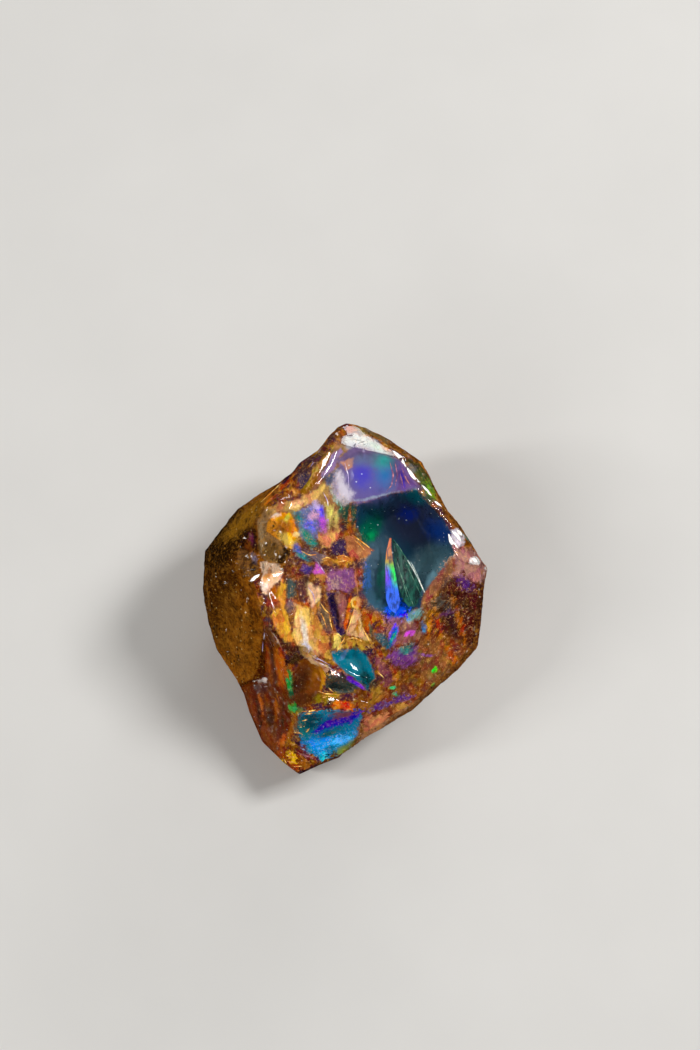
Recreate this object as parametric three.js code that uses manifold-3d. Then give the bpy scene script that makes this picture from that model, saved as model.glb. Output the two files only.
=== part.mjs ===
// A rough opal: a broken nodule about 34 x 42 x 23 mm, lying on its back. Clear opal fills a
// hollow in the brown host rock and shows over most of the broken front.
//
// Millimetres. The forms are written in the stone's own frame: x to the right, y up the broken
// front, z out of it, origin in the middle of the stone. At the end the stone is turned onto its
// flat resting face, which becomes z = 0 of the part's frame, +Z up.

import * as THREE from 'three';
import { mergeVertices } from 'three/addons/utils/BufferGeometryUtils.js';
import Module from 'manifold-3d';

// Driving dimensions.
const LEAN = THREE.MathUtils.degToRad(18); // how far the broken front leans off level
const REST_DEPTH = 11.5; // from the stone's origin down to its resting face
const OPAL_DEPTH = 1.6; // depth of the clear opal between its pools
const ROCK_WALL = 1.2; // least rock between a pool of opal and the stone's side
const GAP = 0.3; // clearance between the opal and the rock

// The stone's widest line as its front is seen, clockwise from the peak.
const OUTLINE = [
  [0.3, 20.8], [2.6, 20.4], [5.6, 18.9], [9.4, 16.4], [10.3, 14.6], [12.7, 10.1], [14.1, 8.5],
  [17.2, 3.5], [16.8, 0.8], [16.6, -2.8], [16.1, -6.0], [13.9, -8.5], [11.2, -10.9],
  [8.5, -13.4], [5.5, -15.1], [2.5, -16.9], [-0.5, -19.0], [-2.9, -19.9], [-5.3, -21.1],
  [-7.1, -19.8], [-9.8, -17.3], [-11.3, -13.8], [-12.0, -11.5], [-13.4, -9.4], [-15.5, -6.4],
  [-16.5, -3.4], [-17.2, 0.8], [-16.9, 5.6], [-15.2, 8.0], [-12.8, 10.9], [-9.8, 12.8],
  [-6.2, 14.9], [-5.3, 16.1], [-2.6, 17.9], [-0.8, 20.3],
];

// The edge of the clear opal on the front, clockwise from the peak. It runs past the outline
// where opal reaches the stone's side: left of the peak and along the amber face.
const OPAL_EDGE = [
  [0.6, 21.8], [2.9, 19.3], [5.2, 18.0], [8.6, 15.9], [9.4, 14.2], [11.8, 9.8], [13.3, 7.9],
  [16.1, 3.3], [15.7, 0.6], [15.5, -2.7], [15.0, -5.5], [13.1, -7.7], [10.5, -10.1],
  [8.0, -12.4], [5.1, -14.1], [2.2, -15.9], [0.2, -18.0], [-2.2, -21.6], [-5.6, -23.2],
  [-9.4, -21.2], [-12.6, -17.6], [-13.4, -11.6], [-11.6, -10.4], [-9.5, -9.4], [-9.3, -3.4],
  [-9.7, -0.4], [-10.4, 2.0], [-8.8, 2.8], [-7.0, 3.4], [-6.2, 5.6], [-6.6, 8.2], [-8.6, 9.6],
  [-9.2, 11.0], [-7.6, 12.6], [-7.4, 16.6], [-4.2, 19.2], [-2.2, 21.6],
];

// The flat faces that broke the nodule: a point on each, and how z changes along x and along y.
const FRONT_FACES = [
  { name: 'window', at: [4.0, 4.0, 7.0], slope: [-0.12, -0.02] },
  { name: 'upper', at: [4.0, 11.9, 6.84], slope: [-0.02, -0.43] },
  { name: 'crown', at: [2.4, 17.4, 4.5], slope: [-0.15, -1.0] },
  { name: 'upper right rim', at: [8.0, 14.5, 5.6], slope: [-1.1, -0.88] },
  { name: 'beside the peak', at: [-4.6, 14.0, 6.8], slope: [0.95, -1.25] },
  { name: 'right', at: [12.0, 4.0, 6.04], slope: [-0.42, 0.08] },
  { name: 'lower right', at: [7.0, -5.0, 6.4], slope: [-0.42, 0.3] },
  { name: 'foot', at: [-2.0, -8.3, 7.4], slope: [0.04, 0.45] },
  { name: 'amber', at: [-8.3, -3.5, 8.3], slope: [1.03, 0.53] },
];
const BACK_FACES = [
  { name: 'right', at: [14.0, 3.0, -7.0], slope: [1.0, -0.1] },
  { name: 'left', at: [-13.0, 7.0, -8.0], slope: [-0.9, 0.5] },
  { name: 'head', at: [3.0, 17.0, -8.5], slope: [0.15, 1.2] },
  { name: 'toe', at: [4.0, -15.0, -5.5], slope: [0.5, -1.0] },
];

// Shell-shaped chips out of the front and lumps standing on it: the middle, the half length and
// half width, the length's direction in degrees, and the depth or height.
const CHIPS = [
  { name: 'amber face', at: [-8.3, -11.6], size: [8.8, 3.2], turn: 101, tall: 1.0 },
  { name: 'brown scoop', at: [-4.3, -9.7], size: [4.4, 2.6], turn: 108, tall: 1.6 },
  { name: 'dark hollow', at: [0.4, -11.2], size: [3.6, 1.9], turn: -12, tall: 1.2 },
  { name: 'blue hollow', at: [-1.4, -16.6], size: [4.8, 3.0], turn: 22, tall: 1.0 },
  { name: 'teal hollow', at: [2.2, -7.2], size: [3.9, 2.4], turn: -36, tall: 0.9 },
  { name: 'window', at: [7.0, 5.0], size: [8.4, 7.0], turn: 38, tall: 0.6 },
  { name: 'left slope', at: [-3.7, 3.0], size: [8.8, 4.4], turn: 104, tall: 0.7 },
  { name: 'right slope', at: [12.0, -4.2], size: [6.4, 3.8], turn: 62, tall: 0.8 },
  { name: 'lower lip', at: [6.6, -10.6], size: [6.4, 2.6], turn: 37, tall: 0.7 },
  { name: 'corner', at: [14.4, 6.4], size: [2.6, 1.5], turn: -52, tall: 0.7 },
  { name: 'beside the peak', at: [-4.4, 16.6], size: [3.8, 1.4], turn: 58, tall: 0.4 },
  { name: 'cavity', at: [-11.3, 6.8], size: [1.5, 1.1], turn: 75, tall: 1.2 },
  { name: 'flank dent', at: [-14.2, -2.0], size: [5.0, 2.2], turn: 84, tall: 0.5 },
];
const LUMPS = [
  { name: 'knob', at: [-8.3, 6.2], size: [2.3, 1.9], turn: 80, tall: 1.5 },
  { name: 'lip', at: [-8.0, 10.6], size: [2.8, 1.1], turn: 38, tall: 1.0 },
  { name: 'ledge', at: [-10.0, 2.0], size: [1.7, 1.1], turn: -35, tall: 0.7 },
  { name: 'band', at: [-3.0, 15.5], size: [4.6, 1.1], turn: 62, tall: 0.7 },
  { name: 'ribbon', at: [-1.4, -8.9], size: [5.2, 0.7], turn: -27, tall: 0.8 },
  { name: 'left ridge', at: [-8.3, -2.2], size: [4.2, 0.9], turn: 105, tall: 0.7 },
];
const CAP_ANGLE = THREE.MathUtils.degToRad(50); // how much of a sphere a chip or a lump is
const UNEVEN = 0.09; // how far chips and lumps are from true ellipsoids

// Wide chips out of the rock's hidden sides: the side's direction in degrees, the height of the
// chip's middle, its sphere's radius, and its depth.
const SIDE_CHIPS = [
  { towards: -38, height: -5.0, radius: 9, deep: 1.1 },
  { towards: 8, height: -1.5, radius: 11, deep: 0.8 },
  { towards: 62, height: -6.5, radius: 8, deep: 1.3 },
  { towards: 118, height: -7.5, radius: 9, deep: 1.6 },
  { towards: 172, height: -8.5, radius: 10, deep: 1.8 },
  { towards: 222, height: -6.0, radius: 7, deep: 1.2 },
];

// Pools: places where the clear opal is deeper.
const POOLS = [
  { name: 'dark well', at: [7.4, 6.4], reach: 5.2, deep: 8.0 },
  { name: 'under the peak', at: [3.2, 15.0], reach: 3.6, deep: 4.2 },
  { name: 'middle', at: [-2.2, 3.6], reach: 4.0, deep: 3.4 },
  { name: 'teal pool', at: [2.2, -8.0], reach: 3.0, deep: 3.6 },
  { name: 'blue pool', at: [-1.6, -15.6], reach: 3.2, deep: 3.2 },
  { name: 'amber pool', at: [-7.4, -11.0], reach: 3.6, deep: 3.4 },
  { name: 'under the brown scoop', at: [-4.4, -9.6], reach: 2.8, deep: 3.4 },
  { name: 'under the dark hollow', at: [0.4, -11.2], reach: 2.4, deep: 2.8 },
];

// The nodule's skin, from the widest line: how far it rises or sinks, and how far it closes in.
const WIDEST_HEIGHT = -1.8;
const FRONT_SKIN = { tall: 14, wide: 1.6 };
const FLANK_SKIN = { tall: 12, wide: 8.2 };
const BACK_SKIN = { tall: -15, wide: 12 };
const FLANK_DIRECTION = 2.95; // radians, the middle of the rounded left flank
const SKIN_STEPS = 6;

// How far a direction points at the rounded left flank, 0 to 1.
function flankShare(x, y) {
  const angle = THREE.MathUtils.euclideanModulo(Math.atan2(y, x), 2 * Math.PI);
  return THREE.MathUtils.smoothstep(1.15 - Math.abs(angle - FLANK_DIRECTION), 0, 0.75);
}

function frontSkin(share) {
  return {
    tall: THREE.MathUtils.lerp(FRONT_SKIN.tall, FLANK_SKIN.tall, share),
    wide: THREE.MathUtils.lerp(FRONT_SKIN.wide, FLANK_SKIN.wide, share),
  };
}

// The whole nodule as it was before it broke, shrunk by inset: rings of the outline.
function noduleGeometry(inset) {
  const positions = [];
  const ring = (steps, frontSide) => {
    const slant = (steps / SKIN_STEPS) * (Math.PI / 2);
    for (const [x, y] of OUTLINE) {
      const share = flankShare(x, y);
      const { tall, wide } = frontSide ? frontSkin(share) : BACK_SKIN;
      const shrink = 1 - (inset + wide * (1 - Math.cos(slant))) / Math.hypot(x, y);
      positions.push(x * shrink, y * shrink, WIDEST_HEIGHT - share + tall * Math.sin(slant));
    }
  };
  for (let k = SKIN_STEPS; k > 0; k--) ring(k, true);
  for (let k = 0; k <= SKIN_STEPS; k++) ring(k, false);

  const around = OUTLINE.length;
  const rings = positions.length / 3 / around;
  const index = sideIndex(rings, around);
  const frontCentre = positions.length / 3;
  positions.push(0, 0, positions[2], 0, 0, positions[positions.length - 1]);
  const last = (rings - 1) * around;
  for (let i = 0; i < around; i++) {
    const next = (i + 1) % around;
    index.push(frontCentre, next, i, frontCentre + 1, last + i, last + next);
  }
  return indexed(positions, index);
}

// A plug the shape of the opal's edge, closing in with depth.
function plugGeometry(grow) {
  const levels = [
    { up: 9, share: 1 },
    { up: 0, share: 1 },
    { up: -3, share: 0.92 },
    { up: -8, share: 0.6 },
  ];
  const edge = grown(OPAL_EDGE, grow);
  const positions = [];
  for (const { up, share } of levels) {
    for (const [x, y] of edge) positions.push(x * share, y * share, surface(x, y).z + up);
  }
  const index = sideIndex(levels.length, edge.length);
  const last = (levels.length - 1) * edge.length;
  for (const [a, b, c] of THREE.ShapeUtils.triangulateShape(edge.map((p) => new THREE.Vector2(...p)), [])) {
    index.push(a, b, c, last + c, last + b, last + a);
  }
  return indexed(positions, index);
}

// Triangles that join rings of the same number of points, from the top ring down.
function sideIndex(rings, around) {
  const index = [];
  for (let top = 0; top < (rings - 1) * around; top += around) {
    for (let i = 0; i < around; i++) {
      const next = (i + 1) % around;
      index.push(top + i, top + next, top + around + next, top + i, top + around + next, top + around + i);
    }
  }
  return index;
}

// A clockwise line moved outwards by a distance.
function grown(line, distance) {
  return line.map(([x, y], i) => {
    const before = line[(i + line.length - 1) % line.length];
    const after = line[(i + 1) % line.length];
    const along = new THREE.Vector2(after[0] - before[0], after[1] - before[1]).normalize();
    return [x - along.y * distance, y + along.x * distance];
  });
}

function indexed(positions, index) {
  const geometry = new THREE.BufferGeometry();
  geometry.setAttribute('position', new THREE.Float32BufferAttribute(positions, 3));
  geometry.setIndex(index);
  return geometry;
}

const faceHeight = ({ at, slope }, x, y) => at[2] + slope[0] * (x - at[0]) + slope[1] * (y - at[1]);
const faceNormal = ({ slope }) => new THREE.Vector3(-slope[0], -slope[1], 1).normalize();

// The front's height and normal at a place, before chips and lumps.
function surface(x, y) {
  const flank = flankTop(x, y);
  const lowest = FRONT_FACES.reduce((a, b) => (faceHeight(a, x, y) < faceHeight(b, x, y) ? a : b));
  const z = faceHeight(lowest, x, y);
  return flank.z < z ? flank : { z, normal: faceNormal(lowest) };
}

// The rounded flank's height and normal at a place, and a height above everything elsewhere.
function flankTop(x, y) {
  const share = flankShare(x, y);
  const away = Math.hypot(x, y);
  const inset = outlineRadius(x, y) - away;
  if (share < 0.6 || inset >= FLANK_SKIN.wide || inset <= 0) return { z: Infinity };
  const slant = Math.acos(1 - inset / FLANK_SKIN.wide);
  const lift = Math.cos(slant) * FLANK_SKIN.tall;
  const out = Math.sin(slant) * FLANK_SKIN.wide;
  return {
    z: WIDEST_HEIGHT - share + FLANK_SKIN.tall * Math.sin(slant),
    normal: new THREE.Vector3((lift * x) / away, (lift * y) / away, out).normalize(),
  };
}

// Distance from the origin to the outline through a place.
function outlineRadius(x, y) {
  const ray = new THREE.Vector2(x, y).normalize();
  for (let i = 0; i < OUTLINE.length; i++) {
    const a = new THREE.Vector2(...OUTLINE[i]);
    const side = new THREE.Vector2(...OUTLINE[(i + 1) % OUTLINE.length]).sub(a);
    const across = ray.cross(side);
    const r = a.cross(side) / across;
    const t = a.cross(ray) / across;
    if (r > 0 && t >= 0 && t <= 1) return r;
  }
  throw new Error('the outline does not close round the origin');
}

// An uneven ellipsoid that meets the surface over a given ellipse: sunk in it for a lump, and
// raised over it for a chip.
function capGeometry({ at, size, turn, tall }, raised) {
  const { z, normal } = surface(...at);
  const radii = new THREE.Vector3(
    size[0] / Math.sin(CAP_ANGLE),
    size[1] / Math.sin(CAP_ANGLE),
    tall / (1 - Math.cos(CAP_ANGLE)),
  );
  const lift = (raised ? 1 : -1) * radii.z * Math.cos(CAP_ANGLE);
  const facing = new THREE.Quaternion().setFromUnitVectors(new THREE.Vector3(0, 0, 1), normal);
  const middle = new THREE.Vector3(...at, z).addScaledVector(normal, lift);
  return uneven(new THREE.IcosahedronGeometry(1, Math.round(3 + size[0] / 3)), at[0] + at[1])
    .scale(radii.x, radii.y, radii.z)
    .rotateZ(THREE.MathUtils.degToRad(turn))
    .applyQuaternion(facing)
    .translate(...middle);
}

function sideChipGeometry({ towards, height, radius, deep }) {
  const angle = THREE.MathUtils.degToRad(towards);
  const away = outlineRadius(Math.cos(angle), Math.sin(angle)) + radius - deep;
  return uneven(new THREE.IcosahedronGeometry(1, 4), towards)
    .scale(radius, radius, radius)
    .translate(away * Math.cos(angle), away * Math.sin(angle), height);
}

function poolGeometry({ at, reach, deep }, grow) {
  return new THREE.IcosahedronGeometry(1, 3)
    .scale(reach + grow, reach + grow, deep + grow)
    .translate(...at, surface(...at).z);
}

// A unit sphere with a smooth unevenness of its own.
function uneven(sphere, seed) {
  const points = sphere.attributes.position;
  const p = new THREE.Vector3();
  for (let i = 0; i < points.count; i++) {
    p.fromBufferAttribute(points, i);
    const wave = Math.sin(4.1 * p.x + seed) + Math.sin(5.3 * p.y + 2 * seed) + Math.sin(4.7 * p.z + 3 * seed);
    p.multiplyScalar(1 + (UNEVEN / 3) * wave);
    points.setXYZ(i, p.x, p.y, p.z);
  }
  return sphere;
}

const wasm = await Module();
wasm.setup();

function solid(geometry) {
  geometry.deleteAttribute('normal');
  geometry.deleteAttribute('uv');
  const merged = mergeVertices(geometry, 1e-4);
  return new wasm.Manifold(new wasm.Mesh({
    numProp: 3,
    vertProperties: merged.attributes.position.array,
    triVerts: new Uint32Array(merged.index.array),
  }));
}

// What is left of a solid behind the broken faces of the front, moved in by inset.
function behindFront(whole, inset) {
  return FRONT_FACES.reduce((left, face) => {
    const inwards = faceNormal(face).negate();
    return left.trimByPlane(inwards.toArray(), inset + inwards.dot(new THREE.Vector3(...face.at)));
  }, whole);
}

function inFrontOfBack(whole) {
  return BACK_FACES.reduce((left, face) => {
    const normal = faceNormal(face);
    return left.trimByPlane(normal.toArray(), normal.dot(new THREE.Vector3(...face.at)));
  }, whole);
}

// The clear opal's hollow: a skin over the front, and the pools, which leave a wall of rock.
function hollow(grow) {
  const core = behindFront(solid(noduleGeometry(OPAL_DEPTH + grow)), OPAL_DEPTH + grow);
  const skin = solid(plugGeometry(grow)).subtract(core);
  const insideWall = solid(noduleGeometry(ROCK_WALL - grow));
  return POOLS.reduce((all, pool) => all.add(solid(poolGeometry(pool, grow)).intersect(insideWall)), skin);
}

// The largest body of a solid, without slivers that a cut leaves beside it.
const largest = (cut) => cut.decompose().sort((a, b) => b.volume() - a.volume())[0];

// Turns the stone's own frame onto the part's frame, resting on z = 0.
const onItsBack = new THREE.Matrix4().makeRotationX(LEAN).setPosition(0, 0, REST_DEPTH);
const restNormal = new THREE.Vector3(0, Math.sin(LEAN), Math.cos(LEAN));

function mesh(name, body, material) {
  const { vertProperties, triVerts } = body.getMesh();
  const geometry = indexed(vertProperties, new THREE.BufferAttribute(triVerts, 1)).applyMatrix4(onItsBack);
  geometry.computeVertexNormals();
  const made = new THREE.Mesh(geometry, material);
  made.name = name;
  return made;
}

const rockMaterial = new THREE.MeshStandardMaterial({ color: 0x8a5a24, roughness: 0.6, metalness: 0 });
const opalMaterial = new THREE.MeshStandardMaterial({
  color: 0x2f7f8c, roughness: 0.05, metalness: 0, transparent: true, opacity: 0.45,
});

let stone = inFrontOfBack(behindFront(solid(noduleGeometry(0)), 0));
for (const lump of LUMPS) stone = stone.add(solid(capGeometry(lump, false)));
for (const chip of CHIPS) stone = stone.subtract(solid(capGeometry(chip, true)));
for (const chip of SIDE_CHIPS) stone = stone.subtract(solid(sideChipGeometry(chip)));
stone = stone.trimByPlane(restNormal.toArray(), -REST_DEPTH);

const opal = largest(stone.intersect(hollow(0)));
const rock = largest(stone.subtract(hollow(GAP)));

const roughOpal = new THREE.Group();
roughOpal.add(mesh('host_rock', rock, rockMaterial), mesh('opal', opal, opalMaterial));

export default roughOpal;
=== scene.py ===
"""A rough opal lying on its back: the looks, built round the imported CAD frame.

Metres, in the row frame. Places on the broken front are written in the stone's own frame, in
millimetres: x to the right, y up the front, z out of it. The stone leans LEAN off level.
Colours are sRGB, 0 to 255.
"""

import math

import bmesh
import bpy
import numpy as np
from mathutils import Matrix, Vector, noise
from mathutils.bvhtree import BVHTree


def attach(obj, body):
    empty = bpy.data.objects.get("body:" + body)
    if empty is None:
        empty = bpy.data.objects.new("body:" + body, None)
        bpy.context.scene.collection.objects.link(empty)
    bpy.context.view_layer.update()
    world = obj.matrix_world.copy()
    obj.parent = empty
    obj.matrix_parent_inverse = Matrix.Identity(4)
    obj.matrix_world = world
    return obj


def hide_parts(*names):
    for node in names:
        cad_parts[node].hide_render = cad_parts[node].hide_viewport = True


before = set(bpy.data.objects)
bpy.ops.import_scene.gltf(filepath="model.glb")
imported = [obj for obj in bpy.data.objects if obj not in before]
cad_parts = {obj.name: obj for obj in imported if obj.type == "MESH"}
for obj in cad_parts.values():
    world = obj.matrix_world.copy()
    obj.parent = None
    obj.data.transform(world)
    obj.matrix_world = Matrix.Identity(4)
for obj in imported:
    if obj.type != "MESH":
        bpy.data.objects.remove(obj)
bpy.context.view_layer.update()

MM = 0.001
FAR = 99.0  # millimetres, further than any part of the stone

NOISE_SEED = 7  # keeps mathutils.noise the same from run to run
noise.seed_set(NOISE_SEED)

# ---------------------------------------------------------------- dimensions

# How the stone lies, as in the CAD.
LEAN = math.radians(18)
REST_DEPTH = 11.5 * MM
STONE_TO_ROW = Matrix.Translation((0, 0, REST_DEPTH)) @ Matrix.Rotation(LEAN, 4, "X")
OUT = np.array(STONE_TO_ROW.to_3x3() @ Vector((0, 0, 1)))

# The skin over the whole stone.
VOXEL = 0.23 * MM
FUSE = 0.22 * MM  # how far both solids are swollen to close the clearance between them
RELAX_ROUNDS = 2

# Lumps of the sandstone: each kind's height and size in millimetres, and its seed.
SANDSTONE = [(0.14, 0.7, 1), (0.3, 4.0, 2)]
ROCK_STARTS = (0.2, -1.2)  # its relief grows between these, from the opal's rim outwards
REST_BAND = 1.5 * MM  # it fades out towards the resting face

# The coloured bed under the clear opal, in millimetres.
BED_DEPTH = 0.32
BED_RAGGED = 0.6
BED_STARTS = (-0.15, 0.7)  # the bed goes down between these, from the opal's rim inwards
FLAKE_SHARE = 0.45  # of the bed's raggedness; the rest is fibres
FLAKE_SIZE = 0.85
FLAKE_STRETCH = (1, 0.6, 1)
FIBRE_SIZE = 0.34
FIBRE_LENGTH = 1.4
FIBRE_MARGIN = 1.5  # how far past the opal's rim the fibres go
GLASS_UNDER_BED = 0.25  # how far the clear opal goes on below the bed's surface
GLASS_EDGE = 0.08  # how far the clear opal's rim is buried under the rock
GLASS_STARTS = (0.35, -0.1)  # its surface comes down to the rock between these
GLASS_MARGIN = 0.25  # how far past the opal's rim it goes
SLIVER_DEPTH = 0.05  # thickness of the cracks and hairlines
LINE_LIFT = 0.1  # how far the hairlines lie above the bed
LINE_STEP = 0.25
LINE_TIP = 0.15  # radians of the half wave of its width that are cut off each end
FACES_FRONT = 0.2  # least cosine between the front and a surface that belongs to it

# Wells, where the clear opal is deeper: the outline, the slope's width, and the depth.
WELL_RAGGED = 0.5  # how far the wells' rims wander
WINDOW = [
    (1.6, 11.2), (3.9, 11.8), (5.4, 12.3), (7.0, 12.5), (8.8, 12.9), (10.3, 11.2), (11.5, 9.8),
    (12.6, 7.9), (12.6, 6.3), (13.3, 5.5), (12.0, 3.9), (10.6, 2.2), (9.5, 0.6), (9.0, -1.0),
    (7.5, -1.6), (5.8, -2.0), (4.2, -1.4), (2.9, -0.7), (2.2, 0.8), (2.3, 3.4), (3.0, 5.2),
    (2.2, 7.2), (1.3, 8.6), (1.5, 10.0),
]
TEAL_POOL = [
    (0.5, -6.0), (1.4, -5.6), (2.7, -6.6), (3.3, -7.9), (3.7, -9.3), (2.7, -10.8), (1.9, -10.0),
    (0.5, -8.9), (-0.5, -8.1), (-1.2, -7.3), (-1.2, -6.3), (-0.3, -6.0),
]
BLUE_POOL = [
    (-5.4, -14.6), (-5.0, -13.7), (-3.4, -13.4), (-1.8, -13.2), (0.0, -13.3), (2.1, -13.1),
    (2.3, -14.2), (1.3, -16.5), (0.2, -17.8), (-1.2, -19.1), (-2.5, -20.1), (-3.0, -18.9),
    (-4.2, -18.3), (-5.0, -17.3), (-5.5, -16.1),
]
NAVY_COLUMN = [
    (-2.0, 0.9), (-0.9, 0.6), (-0.4, -1.5), (0.3, -4.0), (-0.4, -4.6), (-1.1, -2.8), (-1.6, -1.2),
]
SLATE_HOLLOW = [
    (-2.4, -8.6), (-0.2, -9.0), (0.9, -9.6), (2.0, -10.8), (1.1, -11.2), (-0.6, -11.3),
    (-2.2, -10.6),
]
MILKY_TOP = [
    (-0.6, 16.5), (1.1, 18.2), (4.8, 17.3), (6.6, 16.4), (8.0, 14.7), (9.4, 12.9), (8.8, 12.8),
    (7.0, 12.5), (5.4, 12.3), (3.9, 11.8), (1.6, 11.2), (0.4, 11.6), (-0.8, 13.0),
]
WELLS = [
    (WINDOW, 2.4, 5.4),
    (TEAL_POOL, 0.9, 1.5),
    (BLUE_POOL, 1.4, 1.2),
    (NAVY_COLUMN, 0.5, 1.0),
    (SLATE_HOLLOW, 0.8, 1.2),
    (MILKY_TOP, 1.5, 0.9),
]
AMBER_FACE = [
    (-9.3, -2.9), (-8.6, -4.0), (-7.5, -5.4), (-6.7, -6.9), (-6.4, -8.6), (-6.1, -11.2),
    (-6.2, -12.9), (-6.4, -14.4), (-7.0, -17.0), (-7.6, -20.6), (-10.3, -19.0), (-12.6, -15.4),
    (-13.6, -11.6), (-12.2, -10.1), (-10.9, -9.6), (-10.2, -7.9), (-9.7, -5.4),
]
BROWN_SCOOP = [
    (-5.0, -7.2), (-3.5, -7.5), (-2.4, -8.4), (-2.3, -9.6), (-3.0, -11.2), (-4.2, -12.5),
    (-5.6, -12.8), (-6.2, -11.6), (-6.0, -10.0), (-5.6, -8.4),
]
BEAD = ((0.75, 20.2), (0.8, 0.7), 0)  # middle, half sizes, and direction in degrees
# Clear places, and how far they are free of fibres and flakes.
CALM_STARTS = (-0.3, 0.5)  # this grows between these, from their outlines inwards
CALM = [
    (WINDOW, 1.0), (MILKY_TOP, 1.0), (TEAL_POOL, 0.9), (BLUE_POOL, 0.5), (AMBER_FACE, 0.65),
    (BROWN_SCOOP, 0.8), (BEAD, 1.0),
]

# How the fibres run: a place, and the direction there in degrees.
FIBRES = [
    ((-7.5, 0.0), 100), ((-5.0, -3.5), 100), ((-3.0, -6.0), 130), ((-2.0, 3.0), 95),
    ((0.0, -2.0), 80), ((-3.5, 9.0), 125), ((-5.5, 5.3), 155), ((-2.0, 5.0), 160),
    ((-7.0, 11.0), 35), ((-3.5, 15.5), 62), ((-1.2, 9.5), 85), ((-1.5, 7.0), 110),
    ((1.5, 6.0), 110), ((1.5, -3.0), 85), ((2.5, -4.8), 130), ((0.0, -5.0), 75),
    ((3.5, -2.2), 60), ((6.0, -3.5), 65), ((7.0, -7.0), 50), ((11.0, 0.0), 50),
    ((14.0, -1.0), 70), ((12.0, -6.0), 60), ((8.5, -11.0), 40), ((4.5, -14.5), 35),
    ((-1.5, -12.0), 10), ((-2.0, -16.0), 15), ((-8.0, -8.0), 92), ((-9.0, -14.0), 105),
    ((-6.5, -18.5), 140), ((-4.5, -9.5), 110), ((9.0, 15.0), 125), ((14.0, 5.0), 125),
]

# Hairlines of light along small cracks in the bed; the gold ones are painted glints, which glow.
GOLD_GLINT_LINES = [
    [(-3.0, -10.9), (-2.0, -11.2), (-0.7, -11.3)],
    [(-2.6, -11.7), (-1.7, -11.5), (-0.9, -11.7)],
    [(-1.9, -10.3), (-1.5, -10.8), (-1.2, -11.0)],
    [(-5.0, -13.2), (-4.2, -13.3), (-3.0, -13.1)],
    [(-4.6, -13.6), (-3.7, -13.5)],
    [(-5.9, -15.9), (-5.3, -15.8), (-4.9, -16.0)],
    [(-5.2, -15.2), (-4.6, -15.0)],
    [(-6.9, -18.6), (-6.2, -18.9), (-5.6, -18.8)],
    [(-6.6, -19.4), (-5.7, -19.5)],
    [(-6.4, -18.0), (-5.8, -18.3)],
    [(-5.9, -20.0), (-5.0, -19.9)],
    [(-7.1, -19.1), (-6.8, -19.7)],
    [(-5.0, -14.4), (-4.3, -14.2)],
    [(-4.6, -15.6), (-4.2, -15.1)],
    [(-1.3, -4.2), (-0.6, -4.1), (-0.2, -4.6)],
    [(0.2, -4.3), (-0.4, -5.2), (-0.9, -6.2)],
    [(2.1, -3.2), (2.7, -4.4), (3.3, -5.4)],
    [(1.2, -1.2), (0.8, -2.6), (0.3, -4.0)],
    [(0.4, -4.6), (1.3, -4.5), (2.3, -5.0)],
    [(-2.7, -0.5), (-2.2, -1.3), (-1.6, -1.8)],
    [(-2.9, -1.2), (-2.4, -2.3), (-2.0, -3.4)],
    [(-1.7, -1.9), (-1.5, -3.0), (-1.3, -3.7)],
    [(-1.0, 4.9), (-0.1, 5.1), (0.7, 4.7)],
    [(-0.7, 4.3), (0.2, 4.5), (0.8, 4.2)],
    [(-2.6, 4.6), (-1.9, 4.9), (-1.2, 4.5)],
    [(0.9, 7.5), (1.8, 6.9), (2.7, 6.2), (3.4, 5.5)],
    [(1.2, 6.9), (1.9, 6.3), (2.4, 5.7)],
    [(4.0, -8.6), (4.6, -9.2)],
    [(-5.0, 5.6), (-4.0, 5.1), (-3.0, 5.2)],
    [(-9.8, 11.3), (-8.6, 12.4), (-7.4, 13.6)],
]
# Pale hairlines, which glow: partly painted glints along the amber face's edge and the band's edge,
# partly pale streaks.
PALE_AND_GLINT_LINES = [
    [(-9.2, -3.4), (-9.4, -4.8)],
    [(-9.5, -5.1), (-9.6, -6.3)],
    [(-2.6, 17.6), (-3.2, 16.4), (-3.8, 15.4)],
    [(-2.4, 12.4), (-1.9, 11.4), (-1.8, 10.4)],
    [(-4.6, -4.9), (-4.0, -6.0), (-3.0, -6.9), (-1.6, -7.7)],
    [(-3.6, -6.9), (-2.0, -7.9), (-0.7, -8.6)],
    [(-4.3, 1.5), (-3.6, 0.6), (-3.4, -0.4)],
    [(-3.1, 4.4), (-2.7, 3.7), (-2.2, 3.0)],
    [(0.1, 15.9), (0.5, 14.4), (0.6, 13.0)],
]
STRIPE_LINES = [
    [(5.4, 16.0), (5.8, 14.4), (5.6, 13.2), (5.0, 12.5)],
    [(6.0, 16.1), (6.3, 14.4), (6.0, 13.1)],
    [(6.8, 15.3), (7.3, 14.0), (7.8, 13.2)],
    [(6.6, 14.6), (6.8, 13.8), (7.0, 12.9)],
]
# Painted highlights as bright glowing lines: beads along the right rim's crease, on the glassy
# corner and on the ledge.
HIGHLIGHT_LINES = [
    [(12.3, 7.6), (12.6, 6.6), (13.4, 5.9)],
    [(12.7, 7.9), (13.3, 7.4), (13.8, 6.7)],
    [(13.3, 8.1), (13.9, 7.4)],
    [(15.1, 4.7), (15.7, 4.3)],
    [(-10.9, 2.1), (-10.3, 2.5), (-9.8, 2.9)],
    [(5.8, 17.3), (6.7, 16.3), (7.3, 15.4)],
    [(7.4, 15.3), (8.2, 14.1), (8.9, 13.4)],
    [(9.0, 13.2), (9.7, 12.5), (10.2, 12.0)],
    [(10.5, 11.3), (11.0, 11.1), (11.5, 10.8)],
]

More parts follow.
